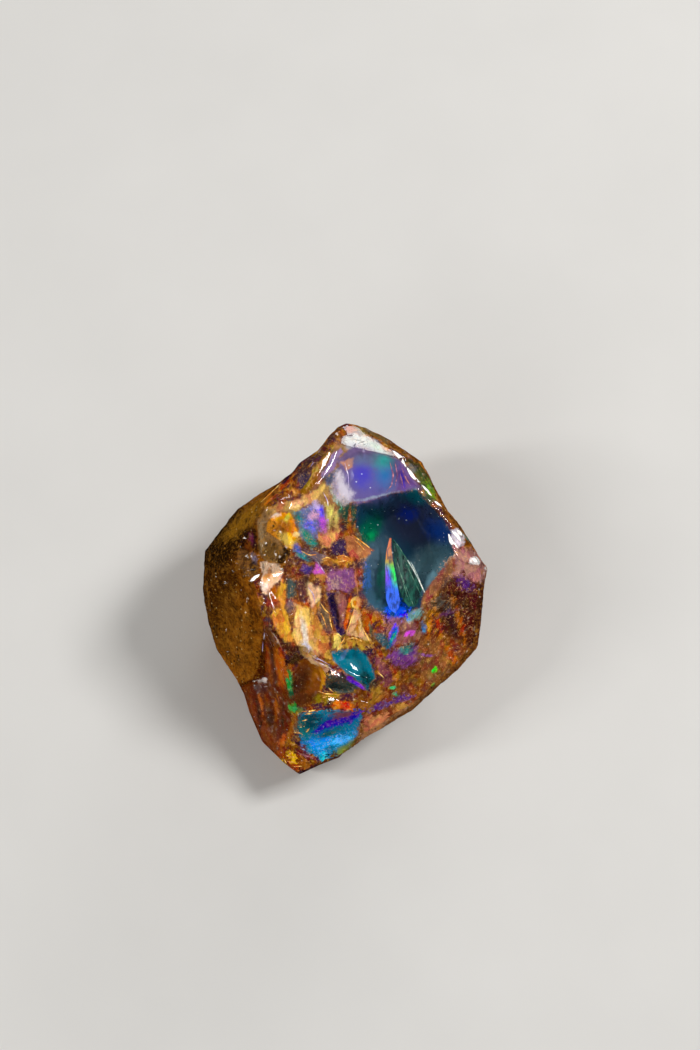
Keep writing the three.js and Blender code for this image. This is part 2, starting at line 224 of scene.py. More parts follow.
# Cracks in the window: their left and right edges, each from the top down.
RAINBOW_CRACK = (
    [(5.3, 7.1, 5.0), (4.95, 5.6, 5.1), (4.8, 4.2, 5.2), (4.85, 2.6, 5.3), (4.8, 1.0, 5.5),
     (4.95, -0.3, 5.7), (5.3, -1.2, 5.9), (5.8, -1.8, 6.0)],
    [(5.5, 7.1, 5.0), (5.55, 5.6, 5.2), (5.75, 4.2, 5.3), (6.1, 2.6, 5.5), (6.35, 1.0, 5.6),
     (6.6, -0.3, 5.8), (6.4, -1.1, 5.9), (6.0, -1.75, 6.0)],
)
DARK_CRACK = (
    [(5.6, 6.9, 4.9), (5.85, 4.6, 4.9), (6.2, 2.6, 5.0), (6.45, 1.0, 5.2), (6.9, -0.2, 5.5),
     (7.6, -1.0, 5.8)],
    [(5.75, 6.9, 4.9), (7.2, 5.0, 5.1), (8.2, 3.5, 5.3), (9.0, 2.1, 5.4), (9.5, 0.6, 5.5),
     (9.2, -0.7, 5.7)],
)
# Thin cracks beside them: name, left edge, width in millimetres, and look.
THIN_CRACKS = [
    # The bright cracks are painted highlight lines beside the dark crack, which glow.
    ("crack_glint_long", [(7.4, 4.5, 5.9), (8.2, 3.2, 5.9), (8.9, 1.8, 5.8), (9.4, 0.7, 5.7)],
     0.12, "crack_glint"),
    ("crack_glint_short", [(7.8, 4.3, 5.9), (8.5, 3.0, 5.8), (9.0, 1.7, 5.8)],
     0.07, "crack_glint"),
    ("faint_crack_top", [(5.8, 6.9, 5.7), (6.6, 5.8, 5.8), (7.4, 4.5, 5.9)], 0.07, "faint_crack"),
    ("faint_crack_0", [(6.4, 3.4, 5.6), (8.2, -1.0, 5.9)], 0.06, "faint_crack"),
    ("faint_crack_1", [(7.3, 4.0, 5.6), (9.1, 0.2, 5.9)], 0.06, "faint_crack"),
    ("faint_crack_2", [(6.1, 4.6, 5.6), (7.4, 0.2, 5.9)], 0.06, "faint_crack"),
]
HAIRLINES = [  # name, lines, and width in millimetres
    ("gold_glint_lines", GOLD_GLINT_LINES, 0.12),
    ("pale_and_glint_lines", PALE_AND_GLINT_LINES, 0.1),
    ("stripe_lines", STRIPE_LINES, 0.16),
    ("highlight_lines", HIGHLIGHT_LINES, 0.4),
]
CRACK_LOOKS = {  # the dark and the pale colour, and how much they shine
    "gold_glint_lines": ((196, 116, 30), (255, 222, 120), 0.35),
    "pale_and_glint_lines": ((150, 132, 176), (240, 232, 236), 0.3),
    "stripe_lines": ((104, 66, 108), (188, 122, 116), 0.1),
    "highlight_lines": ((214, 210, 206), (255, 253, 250), 0.7),
    "dark_crack": ((6, 36, 36), (28, 86, 70), 0.2),
    "crack_glint": ((130, 150, 146), (240, 236, 224), 0.35),
    "faint_crack": ((30, 84, 72), (120, 160, 130), 0.25),
}

# ---------------------------------------------------------------- colours

# The grounds under the zones, as ramps over noise.
BED_GROUND = [
    (0.32, (34, 24, 62)), (0.42, (84, 38, 58)), (0.5, (116, 60, 36)), (0.59, (166, 100, 44)),
    (0.7, (224, 170, 104)),
]
ROCK_GROUND = [
    (0.32, (62, 28, 2)), (0.44, (130, 66, 3)), (0.56, (182, 102, 10)), (0.68, (216, 142, 42)),
]
BLACK = (0, 0, 0)
WHITE = (255, 255, 255)
# painted shade, darkening the crevices between the bed's streaks
CREVICE_SHADE = (26, 14, 22)
FILIGREE = (238, 176, 96)
BUBBLE = (216, 226, 228)
# painted glints: small bright specks scattered on the bed
SPARK_GLINT = (250, 226, 186)
BLOTCH_DARK = (44, 22, 3)
BLOTCH_PALE = (190, 128, 40)
GRAIN_DARK = (38, 18, 2)
GRAIN_PALE = (196, 130, 34)
GLASSY_SPECK = (214, 180, 116)
# painted shade in the sandstone's pits
PIT_SHADE = (22, 11, 4)
CLEAR_OPAL = (214, 226, 220)
OPAL_DENSITY = 70.0  # of the light it takes up, per metre
OPAL_IOR = 1.45
RAINBOW_DOWN = (7.0, -1.8)  # millimetres up the front, from the crack's tip to its foot
RAINBOW_ACROSS = (5.3, 6.6)  # millimetres, from its left to its right side
RAINBOW_LEAN = 0.18  # how far it goes to the right for each millimetre down
RAINBOW_TIP = [(0.0, (190, 100, 60)), (0.16, (186, 120, 50)), (0.3, (120, 160, 50))]
RAINBOW_SIDES = [
    (0.0, (110, 60, 196)), (0.3, (60, 70, 214)), (0.55, (16, 130, 140)), (0.85, (16, 210, 80)),
]
RAINBOW_FOOT = (48, 92, 206)
RAINBOW_STREAK = (10, 20, 70)

STREAK_SAMPLES = 7
STREAK_CONTRAST = 2.6
BED_SHINE = 0.4  # of the play of colour
FIRE_HUES = [(0.16, BLACK), (0.3, WHITE), (0.86, WHITE), (0.95, BLACK)]  # the hues that shine

# Zones of colour, how they are laid.
LEAST_OVERLAP = 0.2  # in millimetres, for the order of two zones to count
NEAR_RAGGED = 0.4  # share of its raggedness that a zone may reach out by
ROCK_ZONES = 4  # how many of the zones colour the rock on its sides too
STEEP_FADE = 4.0  # millimetres of reach for each unit that the surface faces out of the front
SIDE_REACH = 0.8  # reach of the rock's zones and the amber's, which go down the sides
FRONT_REACH = -0.8  # reach of the others, which end at the front's rim
AMBER_MARGIN = 1.5
WARP_SIZE = 2.2
WARP_AMOUNT = 0.22

# Zones of colour, laid one over another: name, colour, outline or (middle, half sizes, direction in
# degrees), then the edge's softness and raggedness in millimetres, and the share.
ZONES = [
    # The rock.
    # painted shade: the left flank, turned from the light, is darkened
    ("shaded_flank", (56, 25, 2), ((-17.0, 2.0), (4.6, 9.0), 0), 1.6, 1.2, 0.85),
    # partly painted light: the lower flank is paler where the light falls on it
    ("lit_pale_flank", (168, 104, 24), ((-12.6, -5.6), (2.4, 5.0), 14), 1.6, 1.6, 0.6),
    # painted shade: the upper-left shoulder, turned from the light, is darkened
    ("shaded_shoulder", (38, 16, 1), ((-14.4, 7.2), (4.2, 2.6), 48), 0.9, 1.2, 0.95),
    ("yellow_shoulder", (190, 130, 22), ((-11.9, 9.3), (3.2, 1.0), 42), 0.4, 1.4, 0.85),
    ("orange_streak", (206, 108, 20), ((-8.4, 12.2), (2.9, 0.32), 46), 0.15, 0.7, 0.95),
    ("black_streak", (20, 10, 6), ((-8.0, 12.7), (0.8, 0.3), 50), 0.12, 0.5, 0.95),
    # painted shade: the cavity under the hook's overhang is darkened
    ("cavity", (40, 10, 10), ((-11.3, 6.9), (1.3, 0.9), 75), 0.3, 0.7, 0.95),
    ("cavity_glint", (170, 60, 110), ((-10.8, 7.0), (0.3, 0.7), 20), 0.2, 0.5, 0.9),
    ("cavity_orange", (206, 104, 30), ((-11.1, 6.2), (0.25, 0.6), 10), 0.15, 0.4, 0.9),
    ("glassy_knob", (134, 88, 46), [(-12.6, 5.6), (-11.4, 6.0), (-10.4, 5.0), (-9.8, 3.8),
        (-10.3, 2.6), (-11.4, 2.8), (-12.4, 3.8)], 0.2, 0.4, 0.92),
    ("glassy_lilac", (168, 156, 184), ((-10.5, 4.7), (0.3, 0.75), 14), 0.15, 0.4, 0.85),
    ("glassy_knob_dark", (46, 26, 18), ((-10.6, 3.9), (0.5, 0.8), 10), 0.2, 0.4, 0.85),
    ("corner_brown", (120, 84, 66), ((16.6, 3.4), (1.4, 2.2), 0), 0.4, 0.8, 0.8),

    # Large areas of the opal.
    ("brown_left", (106, 62, 44), [(-10.2, 3.0), (-8.2, 4.2), (-6.4, 6.0), (-5.0, 8.0), (-1.5, 8.6),
        (1.3, 8.4), (2.4, 4.0), (1.6, -0.8), (3.4, -5.0), (1.0, -6.0), (-1.2, -7.4), (-4.8, -7.4),
        (-7.0, -5.6), (-9.0, -3.2)], 0.4, 0.8, 0.4),
    ("brown_right", (126, 72, 36), [(9.8, 1.2), (13.2, 5.6), (15.6, 5.2), (17.6, 3.6), (17.2, -6.0),
        (9.0, -13.6), (3.0, -14.0), (2.6, -11.0), (4.6, -9.0), (5.0, -5.0), (7.5, -1.8)], 0.4, 0.8,
        0.65),
    ("red_brown", (74, 28, 22), [(12.0, 2.4), (16.9, 2.0), (16.6, -3.3), (15.0, -6.0), (12.2, -4.6),
        (10.6, -1.4)], 0.5, 1.6, 0.9),
    ("strand_gold", (232, 142, 56), ((10.2, -4.0), (0.3, 2.0), -8), 0.2, 0.9, 0.85),
    ("strand_orange", (216, 104, 36), ((11.4, -3.4), (0.25, 1.8), 10), 0.2, 0.9, 0.85),
    ("strand_plum", (42, 14, 28), ((12.6, -2.4), (0.4, 2.0), 20), 0.25, 0.9, 0.85),
    ("strand_rust", (178, 82, 26), ((13.8, -3.0), (0.3, 2.2), 15), 0.2, 0.9, 0.8),
    ("strand_violet", (82, 40, 82), ((12.2, -1.9), (1.1, 0.2), 20), 0.15, 0.6, 0.85),
    ("strand_low", (204, 116, 44), ((12.3, -6.2), (0.3, 1.6), 35), 0.2, 0.9, 0.8),
    ("strand_dark", (64, 30, 14), ((10.6, -8.0), (0.4, 1.5), 50), 0.25, 1.0, 0.8),
    ("orange_brown", (140, 92, 58), [(9.0, -4.6), (12.0, -4.8), (12.4, -7.6), (10.0, -10.0),
        (8.6, -8.4)], 0.5, 1.5, 0.7),
    ("tan_head", (150, 108, 74), [(-9.2, 9.4), (-5.2, 12.2), (-0.8, 18.6), (1.0, 17.4), (0.4, 10.4),
        (-0.6, 8.2), (-4.0, 7.0), (-6.5, 8.4)], 0.4, 0.8, 0.9),
    ("hook", (164, 122, 76), [(-5.0, 11.9), (-6.4, 11.6), (-8.3, 11.4), (-9.5, 10.3), (-10.2, 9.1),
        (-10.3, 7.7), (-10.2, 6.5), (-10.0, 5.3), (-9.1, 4.4), (-8.0, 4.1), (-7.1, 4.4),
        (-6.6, 5.3), (-6.6, 6.0), (-7.3, 6.7), (-8.0, 7.1), (-9.0, 7.8), (-9.0, 8.7), (-8.6, 9.5),
        (-7.4, 10.3), (-6.0, 10.9)], 0.1, 0.2, 0.97),
    ("hook_bulb", (120, 84, 36), ((-8.5, 5.6), (1.5, 1.1), -35), 0.4, 0.3, 0.9),
    # painted highlight down the hook's rounded left limb
    ("hook_highlight", (196, 164, 118), ((-9.6, 7.4), (0.35, 1.6), 4), 0.2, 0.5, 0.8),
    ("hook_tan", (176, 118, 78), ((-7.8, 10.9), (1.4, 0.4), 12), 0.2, 0.4, 0.8),

    # Left of the peak.
    ("mauve_face", (82, 52, 54), [(-1.0, 20.8), (-2.9, 18.4), (-4.2, 17.0), (-5.6, 16.2),
        (-7.2, 15.2), (-6.4, 14.2), (-5.1, 14.5), (-3.9, 15.8), (-2.9, 17.6), (-1.4, 19.2),
        (-0.6, 20.2)], 0.15, 0.25, 0.97),
    ("amber_shard", (160, 84, 24), [(-7.6, 14.6), (-6.2, 14.4), (-7.2, 13.2), (-8.4, 12.2)], 0.2,
        0.5, 0.9),
    ("navy_gap_top", (30, 38, 68), [(-5.6, 14.6), (-4.4, 15.2), (-3.9, 14.4), (-4.6, 12.8),
        (-5.3, 12.9)], 0.2, 0.5, 0.92),
    ("band", (138, 96, 36), [(-1.1, 18.2), (-1.9, 18.2), (-2.5, 17.5), (-3.5, 15.6), (-4.3, 13.9),
        (-5.2, 12.8), (-5.0, 12.1), (-4.2, 12.2), (-3.3, 13.3), (-2.6, 14.8), (-1.8, 16.2),
        (-1.2, 17.2)], 0.1, 0.2, 0.98),
    ("band_left", (54, 34, 44), ((-3.9, 15.6), (0.12, 2.4), -31), 0.1, 0.3, 0.8),
    ("band_right", (84, 58, 66), ((-2.2, 15.1), (0.1, 2.4), -34), 0.08, 0.3, 0.7),
    ("band_light", (186, 146, 88), ((-2.7, 15.9), (0.22, 2.0), -32), 0.15, 0.7, 0.7),
    ("violet_strip", (132, 114, 158), [(-0.4, 17.9), (-1.1, 17.0), (-1.7, 16.0), (-2.5, 14.6),
        (-2.2, 14.1), (-1.3, 15.2), (-0.6, 16.4), (0.0, 17.3)], 0.12, 0.2, 0.92),
    ("slate_strip", (56, 76, 104), [(-2.4, 14.2), (-1.2, 15.2), (-0.5, 15.7), (0.5, 15.0),
        (-0.6, 14.4), (-1.3, 13.6), (-1.9, 13.2)], 0.2, 0.4, 0.9),
    ("tan_triangle", (212, 162, 104), [(-6.2, 11.6), (-4.9, 12.0), (-3.6, 12.6), (-2.2, 13.5),
        (-2.3, 12.8), (-3.4, 11.7), (-4.6, 10.9), (-5.7, 10.5), (-6.3, 10.8)], 0.1, 0.25, 0.98),
    ("peach_triangle", (246, 204, 152), ((-5.3, 11.3), (0.8, 0.35), 20), 0.15, 0.4, 0.92),

    # The knob's golden inside.
    ("gold_knob", (246, 156, 36), [(-8.9, 7.9), (-8.9, 8.7), (-8.4, 9.5), (-7.4, 10.2),
        (-6.2, 10.2), (-5.6, 9.2), (-5.4, 7.7), (-6.0, 6.0), (-6.6, 6.0), (-7.3, 6.7), (-8.0, 7.1)],
        0.12, 0.35, 0.97),
    ("hook_shade", (36, 18, 6), [(-7.4, 6.7), (-6.5, 6.0), (-6.3, 5.2), (-7.0, 4.1), (-8.1, 3.8),
        (-7.3, 4.8), (-6.9, 5.6)], 0.12, 0.2, 0.95),
    # painted shadows: a dark line where the hook meets the rock, and one under its bulb
    ("hook_edge_shadow", (44, 24, 10), ((-10.5, 7.4), (0.16, 2.3), -2), 0.15, 0.4, 0.85),
    ("hook_under_shadow", (40, 20, 8), ((-8.6, 3.95), (1.2, 0.14), -10), 0.12, 0.3, 0.85),
    ("knob_brown", (132, 66, 12), ((-6.9, 8.5), (0.95, 0.75), -30), 0.35, 0.5, 0.85),
    ("knob_yellow", (255, 214, 96), ((-6.6, 6.9), (1.1, 0.55), -40), 0.25, 0.5, 0.95),
    ("knob_line", (150, 76, 16), ((-7.9, 8.0), (0.1, 0.8), -50), 0.08, 0.3, 0.85),
    ("knob_cream", (250, 222, 160), ((-5.6, 7.5), (0.4, 0.3), 20), 0.12, 0.4, 0.9),
    ("knob_glint", (232, 204, 196), ((-8.0, 9.8), (0.55, 0.3), 20), 0.15, 0.4, 0.95),
    ("knob_green", (190, 186, 84), ((-6.6, 9.6), (0.35, 0.55), 0), 0.2, 0.4, 0.9),

    # Flashes left of the middle.
    ("flash_ground", (100, 104, 150), [(-5.6, 10.2), (-3.4, 11.6), (-2.3, 10.8), (-2.1, 8.6),
        (-3.0, 7.6), (-3.4, 6.2), (-5.0, 7.2)], 0.3, 1.0, 0.95),
    ("flash_teal", (20, 120, 110), ((-5.2, 9.4), (0.4, 0.9), 30), 0.4, 0.7, 0.9),
    ("flash_green", (24, 112, 84), [(-5.2, 8.4), (-4.2, 8.0), (-3.0, 6.4), (-3.6, 6.0),
        (-4.8, 7.2)], 0.4, 0.6, 0.9),
    ("flash_blue", (60, 84, 214), ((-2.9, 10.3), (0.8, 0.5), -40), 0.4, 0.7, 0.9),
    ("flash_pink", (214, 164, 192), ((-3.5, 9.7), (0.4, 0.5), -30), 0.4, 0.5, 0.9),
    ("flash_magenta", (172, 72, 192), ((-2.5, 8.9), (0.35, 0.9), 10), 0.4, 0.6, 0.9),
    ("flash_indigo", (108, 104, 222), ((-3.9, 8.5), (0.7, 0.4), -30), 0.4, 0.7, 0.9),
    ("flash_lavender", (176, 160, 200), ((-3.3, 11.1), (0.4, 0.6), -20), 0.25, 0.5, 0.9),
    ("olive_patch", (188, 168, 98), [(-2.1, 11.4), (-1.2, 11.2), (-0.5, 9.4), (-0.7, 8.3),
        (-1.9, 8.2), (-2.3, 9.6)], 0.2, 0.6, 0.95),
    ("yellow_patch", (228, 212, 122), ((-1.3, 9.8), (0.6, 0.8), 10), 0.3, 0.6, 0.9),
    ("peach_patch", (228, 158, 108), [(-3.2, 7.7), (-1.9, 7.9), (-0.5, 8.4), (-0.7, 7.0),
        (-1.5, 6.0), (-2.4, 6.0), (-3.0, 6.8)], 0.15, 0.5, 0.97),
    ("dark_green", (14, 60, 48), [(-0.9, 11.7), (0.2, 11.4), (1.6, 11.2), (1.8, 9.4), (0.9, 8.2),
        (-0.2, 8.8), (-0.6, 10.2)], 0.3, 0.7, 0.95),
    ("green_wisp", (70, 142, 98), ((-0.8, 11.8), (0.25, 1.2), 28), 0.15, 0.5, 0.85),

    # The middle.
    ("navy_gap", (40, 28, 66), [(-1.5, 6.4), (-0.4, 7.0), (0.6, 6.6), (0.6, 5.2), (-1.3, 5.1)], 0.2,
        0.6, 0.95),
    ("swirl", (104, 92, 104), [(-5.8, 6.3), (-4.0, 5.7), (-2.6, 5.4), (-1.6, 4.9), (-1.8, 4.3),
        (-3.4, 4.5), (-5.4, 4.9)], 0.25, 0.7, 0.9),
    ("swirl_teal", (36, 120, 122), ((-4.7, 5.1), (1.0, 0.35), -25), 0.2, 0.5, 0.95),
    ("swirl_blue", (60, 70, 156), ((-5.4, 5.9), (0.7, 0.35), -40), 0.2, 0.5, 0.95),
    ("lump_left", (176, 114, 58), ((-1.8, 4.4), (0.7, 0.55), 0), 0.15, 0.5, 0.95),
    ("lump_right", (210, 148, 72), ((-0.1, 4.5), (1.0, 0.6), 0), 0.15, 0.5, 0.95),
    ("indigo_patch", (62, 50, 122), [(-4.8, 4.1), (-3.5, 3.7), (-4.1, 2.6), (-4.9, 3.2)], 0.2, 0.6,
        0.9),
    ("magenta_shard", (188, 92, 188), [(-3.2, 4.6), (-2.4, 3.5), (-2.1, 2.8), (-3.4, 3.0)], 0.15,
        0.3, 0.95),
    ("orange_tail", (182, 104, 70), [(-3.3, 3.1), (-2.1, 2.9), (-1.9, 2.3), (-2.7, 2.0)], 0.15, 0.4,
        0.9),
    ("purple_plate", (126, 74, 122), [(-1.6, 3.6), (1.1, 3.5), (1.4, 1.7), (0.6, 0.6), (-0.3, 1.0),
        (-1.8, 1.0), (-2.1, 2.2)], 0.25, 0.6, 0.95),
    ("spangle", (196, 166, 156), ((-0.9, 1.8), (0.5, 0.7), 0), 0.3, 1.6, 0.6),
    ("teal_patch", (54, 76, 74), [(-6.8, 2.7), (-5.5, 2.1), (-5.5, 0.4), (-6.5, 0.1)], 0.25, 0.7,
        0.95),
    ("maroon_patch", (86, 50, 50), [(-5.4, 2.3), (-4.2, 2.9), (-4.3, 0.4), (-5.4, 0.0)], 0.25, 0.6,
        0.9),
    ("mauve_patch", (114, 94, 98), ((-6.2, -0.9), (0.7, 0.7), 0), 0.3, 0.6, 0.9),
    ("orange_bar", (194, 114, 60), [(-6.0, -0.1), (-4.2, -0.3), (-3.9, -0.9), (-4.4, -1.0),
        (-5.8, -0.6)], 0.15, 0.4, 0.9),
    ("peach_column", (255, 214, 166), [(-4.4, 1.9), (-3.7, 1.8), (-2.7, 1.0), (-2.7, 0.1),
        (-3.6, -1.3), (-4.0, -0.2)], 0.2, 0.5, 0.95),
    ("filigree", (130, 106, 86), [(-2.8, -0.2), (-1.4, -1.4), (-1.2, -4.0), (-2.0, -3.8),
        (-2.7, -2.7), (-3.1, -1.7)], 0.2, 1.0, 0.9),
    ("navy_column", (38, 28, 72), [(-2.0, 0.9), (-0.9, 0.6), (-0.4, -1.5), (0.3, -4.0),
        (-0.4, -4.6), (-1.1, -2.8), (-1.6, -1.2)], 0.15, 0.4, 0.97),
    ("red_plate", (156, 102, 94), [(-1.1, 0.4), (0.1, 0.5), (0.3, -0.9), (0.0, -3.4), (-0.4, -3.2),
        (-0.8, -1.5)], 0.12, 0.3, 0.95),
    ("orange_tongue", (224, 126, 54), [(0.8, 0.6), (0.4, -0.9), (0.0, -2.8), (0.2, -3.8),
        (0.8, -1.8), (0.95, -0.2)], 0.12, 0.4, 0.95),
    ("thread", (196, 130, 96), ((1.45, 2.2), (0.1, 1.9), 4), 0.08, 0.15, 0.85),
    ("rosette", (168, 90, 44), ((2.1, 3.2), (0.35, 0.5), 0), 0.15, 0.6, 0.9),

    # The left ridge.
    ("tan_ridge", (192, 132, 72), [(-3.7, -0.9), (-2.7, -0.2), (-3.2, -1.8), (-2.7, -2.8),
        (-2.1, -3.9), (-1.4, -5.8), (-1.4, -7.1), (-2.4, -6.9), (-3.5, -6.0), (-3.8, -4.4),
        (-3.8, -2.8)], 0.15, 0.5, 0.97),
    ("cream_swirl", (234, 180, 112), [(-5.9, -0.4), (-4.0, -1.1), (-3.8, -3.1), (-3.4, -5.0),
        (-2.6, -6.2), (-3.0, -6.9), (-4.3, -7.1), (-4.9, -6.6), (-5.2, -5.6), (-5.9, -3.9),
        (-5.7, -2.7), (-5.5, -1.6)], 0.15, 0.3, 0.97),
    ("cream_edge", (250, 214, 150), ((-5.3, -3.2), (0.22, 1.4), 6), 0.15, 0.4, 0.85),
    # painted highlight: a pale line along the cream ridge
    ("cream_highlight", (238, 236, 224), ((-4.5, -3.9), (0.3, 1.7), 8), 0.2, 0.35, 0.92),
    ("cream_blue", (204, 208, 226), ((-4.3, -5.6), (0.8, 0.5), -50), 0.3, 0.6, 0.9),
    ("gold_left", (222, 158, 78), [(-7.3, 2.6), (-6.7, 1.7), (-6.7, -0.9), (-6.1, -3.1),
        (-5.8, -4.9), (-6.7, -4.9), (-7.8, -3.4), (-8.7, -2.1), (-8.1, -1.4), (-7.3, -0.9),
        (-7.5, 1.0)], 0.15, 0.5, 0.97),
    ("red_patch", (150, 84, 54), [(-8.6, 1.2), (-7.4, 1.3), (-7.3, -1.4), (-8.0, -1.6),
        (-9.0, -0.2)], 0.25, 0.8, 0.9),
    ("peach_ledge", (246, 206, 172), [(-9.9, 4.2), (-8.6, 4.3), (-7.5, 4.1), (-7.0, 3.2),
        (-7.4, 2.3), (-8.2, 1.6), (-8.6, 0.9), (-9.3, 0.5), (-9.9, 1.1), (-9.7, 2.0), (-9.4, 2.9)],
        0.1, 0.35, 0.97),
    # painted highlight on the peach ledge
    ("ledge_highlight", (255, 236, 226), ((-9.2, 1.6), (0.55, 0.7), -20), 0.12, 0.4, 0.95),
    ("ledge_brown", (176, 98, 44), ((-7.9, 0.6), (0.45, 0.8), -10), 0.2, 0.5, 0.9),
    ("ledge_orange", (222, 140, 86), ((-8.7, 3.1), (0.3, 0.8), -24), 0.15, 0.6, 0.85),
    ("ledge_rust", (158, 88, 44), ((-9.5, 3.4), (0.25, 0.6), 14), 0.15, 0.5, 0.8),
    ("ridge_brown", (74, 42, 22), [(-9.1, -2.9), (-7.8, -3.7), (-6.7, -4.7), (-5.9, -5.5),
        (-5.0, -7.1), (-5.4, -8.2), (-6.1, -7.9), (-6.7, -6.3), (-7.7, -5.0), (-8.7, -3.9)], 0.15,
        0.4, 0.95),

    # The foot.
    ("ring", (234, 184, 112), ((1.45, -0.4), (0.62, 0.62), 0), 0.1, 0.35, 0.95),
    ("ring_eye", (192, 84, 38), ((1.45, -0.45), (0.28, 0.3), 0), 0.1, 0.1, 0.95),
    ("wedge", (220, 176, 132), [(1.3, -1.1), (2.0, -1.2), (2.1, -3.1), (2.7, -4.4), (3.1, -5.3),
        (2.0, -4.7), (1.1, -4.1), (0.3, -4.2), (0.8, -2.8)], 0.12, 0.4, 0.97),
    ("wedge_line", (166, 92, 40), ((1.75, -3.0), (0.09, 1.3), -6), 0.06, 0.4, 0.8),
    ("wedge_line_low", (126, 70, 34), ((1.1, -3.7), (0.09, 0.7), -50), 0.06, 0.4, 0.8),
    ("orange_speckle", (184, 94, 42), [(2.2, -1.2), (4.2, -1.2), (4.6, -2.4), (3.6, -2.9),
        (3.2, -4.1), (2.3, -3.4)], 0.2, 0.9, 0.95),
    ("gold_teeth", (198, 150, 72), [(-0.1, -4.3), (2.8, -5.0), (3.4, -6.3), (1.4, -5.6),
        (0.4, -5.8), (-0.2, -6.0)], 0.12, 1.2, 0.9),
    ("gold_spike", (244, 214, 124), [(-1.2, -4.1), (-0.5, -4.0), (-0.2, -4.7), (-0.3, -6.1),
        (-0.9, -5.7)], 0.12, 0.3, 0.97),
    ("teal_pool", (6, 106, 126), [(0.5, -6.0), (1.4, -5.6), (2.7, -6.6), (3.3, -7.9), (3.7, -9.3),
        (2.7, -10.8), (1.9, -10.0), (0.5, -8.9), (-0.5, -8.1), (-1.2, -7.3), (-1.2, -6.3),
        (-0.3, -6.0)], 0.15, 0.3, 0.98),
    ("pool_streak", (112, 142, 186), ((0.0, -6.5), (0.9, 0.2), 55), 0.15, 0.3, 0.85),
    ("pool_shade", (10, 50, 48), ((2.9, -9.7), (1.4, 0.7), -50), 0.4, 0.5, 0.9),
    ("slate_hollow", (60, 78, 74), [(-2.4, -8.6), (-0.2, -9.0), (0.9, -9.6), (2.0, -10.8),
        (1.1, -11.2), (-0.6, -11.3), (-2.2, -10.6)], 0.2, 0.4, 0.97),
    ("ribbon_cream", (238, 200, 156), [(-5.0, -6.4), (-3.9, -6.9), (-2.4, -7.8), (-0.9, -8.5),
        (-0.9, -8.9), (-2.5, -8.4), (-4.0, -7.6)], 0.1, 0.2, 0.97),
    ("ribbon_dark", (126, 86, 98), [(-1.0, -8.4), (0.5, -9.0), (0.4, -9.5), (-1.0, -9.0)], 0.12,
        0.2, 0.95),
    ("ribbon_violet", (114, 62, 210), [(0.3, -9.0), (1.5, -9.7), (2.8, -11.3), (1.2, -10.3),
        (0.3, -9.5)], 0.08, 0.12, 0.97),
    ("low_lump", (144, 84, 38), [(1.1, -10.6), (2.9, -11.0), (3.1, -12.6), (1.9, -13.2),
        (1.1, -12.2)], 0.2, 0.6, 0.95),
    ("low_gold", (180, 126, 62), ((3.8, -11.3), (0.9, 0.8), 0), 0.3, 0.8, 0.9),
    ("gold_floor", (150, 120, 36), ((-2.4, -11.8), (1.5, 0.6), 4), 0.25, 0.9, 0.95),
    ("orange_red", (204, 72, 20), ((0.0, -12.6), (1.3, 0.5), -4), 0.2, 0.9, 0.95),

    # The scoop and the amber face.
    ("brown_scoop", (132, 68, 14), [(-5.0, -7.2), (-3.5, -7.5), (-2.4, -8.4), (-2.3, -9.6),
        (-3.0, -11.2), (-4.2, -12.5), (-5.6, -12.8), (-6.2, -11.6), (-6.0, -10.0), (-5.6, -8.4)],
        0.15, 0.3, 0.97),
    # painted shade and light in the scoop: dark on its left and low side, lit towards its right rim
    ("scoop_shade", (52, 22, 8), ((-5.3, -10.1), (1.0, 2.0), -16), 0.6, 0.5, 0.95),
    ("scoop_low_shade", (60, 26, 10), ((-4.6, -11.9), (1.5, 0.7), 24), 0.4, 0.5, 0.9),
    ("scoop_lit", (168, 110, 42), ((-3.4, -9.0), (0.5, 1.0), -20), 0.4, 0.4, 0.7),
    ("scoop_lit_rim", (216, 148, 68), [(-3.1, -7.6), (-2.2, -8.7), (-2.2, -9.8), (-2.9, -11.0),
        (-2.7, -9.6), (-3.0, -8.5)], 0.12, 0.2, 0.85),
    ("amber", (98, 35, 0), [(-9.3, -2.9), (-8.6, -4.0), (-7.5, -5.4), (-6.7, -6.9), (-6.4, -8.6),
        (-6.1, -11.2), (-6.2, -12.9), (-6.4, -14.4), (-7.0, -17.0), (-7.6, -20.6), (-10.3, -19.0),
        (-12.6, -15.4), (-13.6, -11.6), (-12.2, -10.1), (-10.9, -9.6), (-10.2, -7.9), (-9.7, -5.4)],
        0.15, 0.3, 1.0),
    ("amber_top", (84, 40, 22), ((-8.7, -5.0), (0.6, 1.4), 10), 0.4, 0.4, 0.85),
    ("amber_glow", (190, 92, 0), ((-7.5, -8.2), (0.75, 2.3), 6), 0.35, 0.6, 0.95),
    ("amber_glow_left", (146, 66, 2), ((-8.9, -7.6), (0.3, 1.9), 4), 0.2, 0.6, 0.9),
    ("amber_dark", (52, 22, 10), ((-8.3, -8.0), (0.22, 2.4), 6), 0.2, 0.6, 0.9),
    ("amber_glow_low", (124, 50, 0), ((-9.2, -16.6), (0.9, 1.8), 24), 0.5, 0.8, 0.8),
    ("amber_orange", (214, 100, 0), ((-7.3, -16.9), (0.35, 0.9), -18), 0.2, 0.6, 0.9),
    ("amber_streak", (190, 94, 8), ((-9.9, -12.6), (0.2, 1.5), 4), 0.15, 0.6, 0.9),
    ("amber_streak_middle", (140, 64, 2), ((-9.1, -13.0), (0.25, 1.7), 0), 0.15, 0.6, 0.85),
    ("amber_streak_left", (126, 56, 4), ((-11.0, -13.6), (0.3, 1.9), 16), 0.2, 0.6, 0.85),
    ("amber_gap", (40, 16, 6), ((-10.4, -13.6), (0.16, 1.6), 8), 0.15, 0.6, 0.9),
    # painted glint on the amber face
    ("amber_star_glint", (232, 224, 218), ((-9.6, -9.8), (0.26, 0.3), 20), 0.08, 0.4, 0.95),
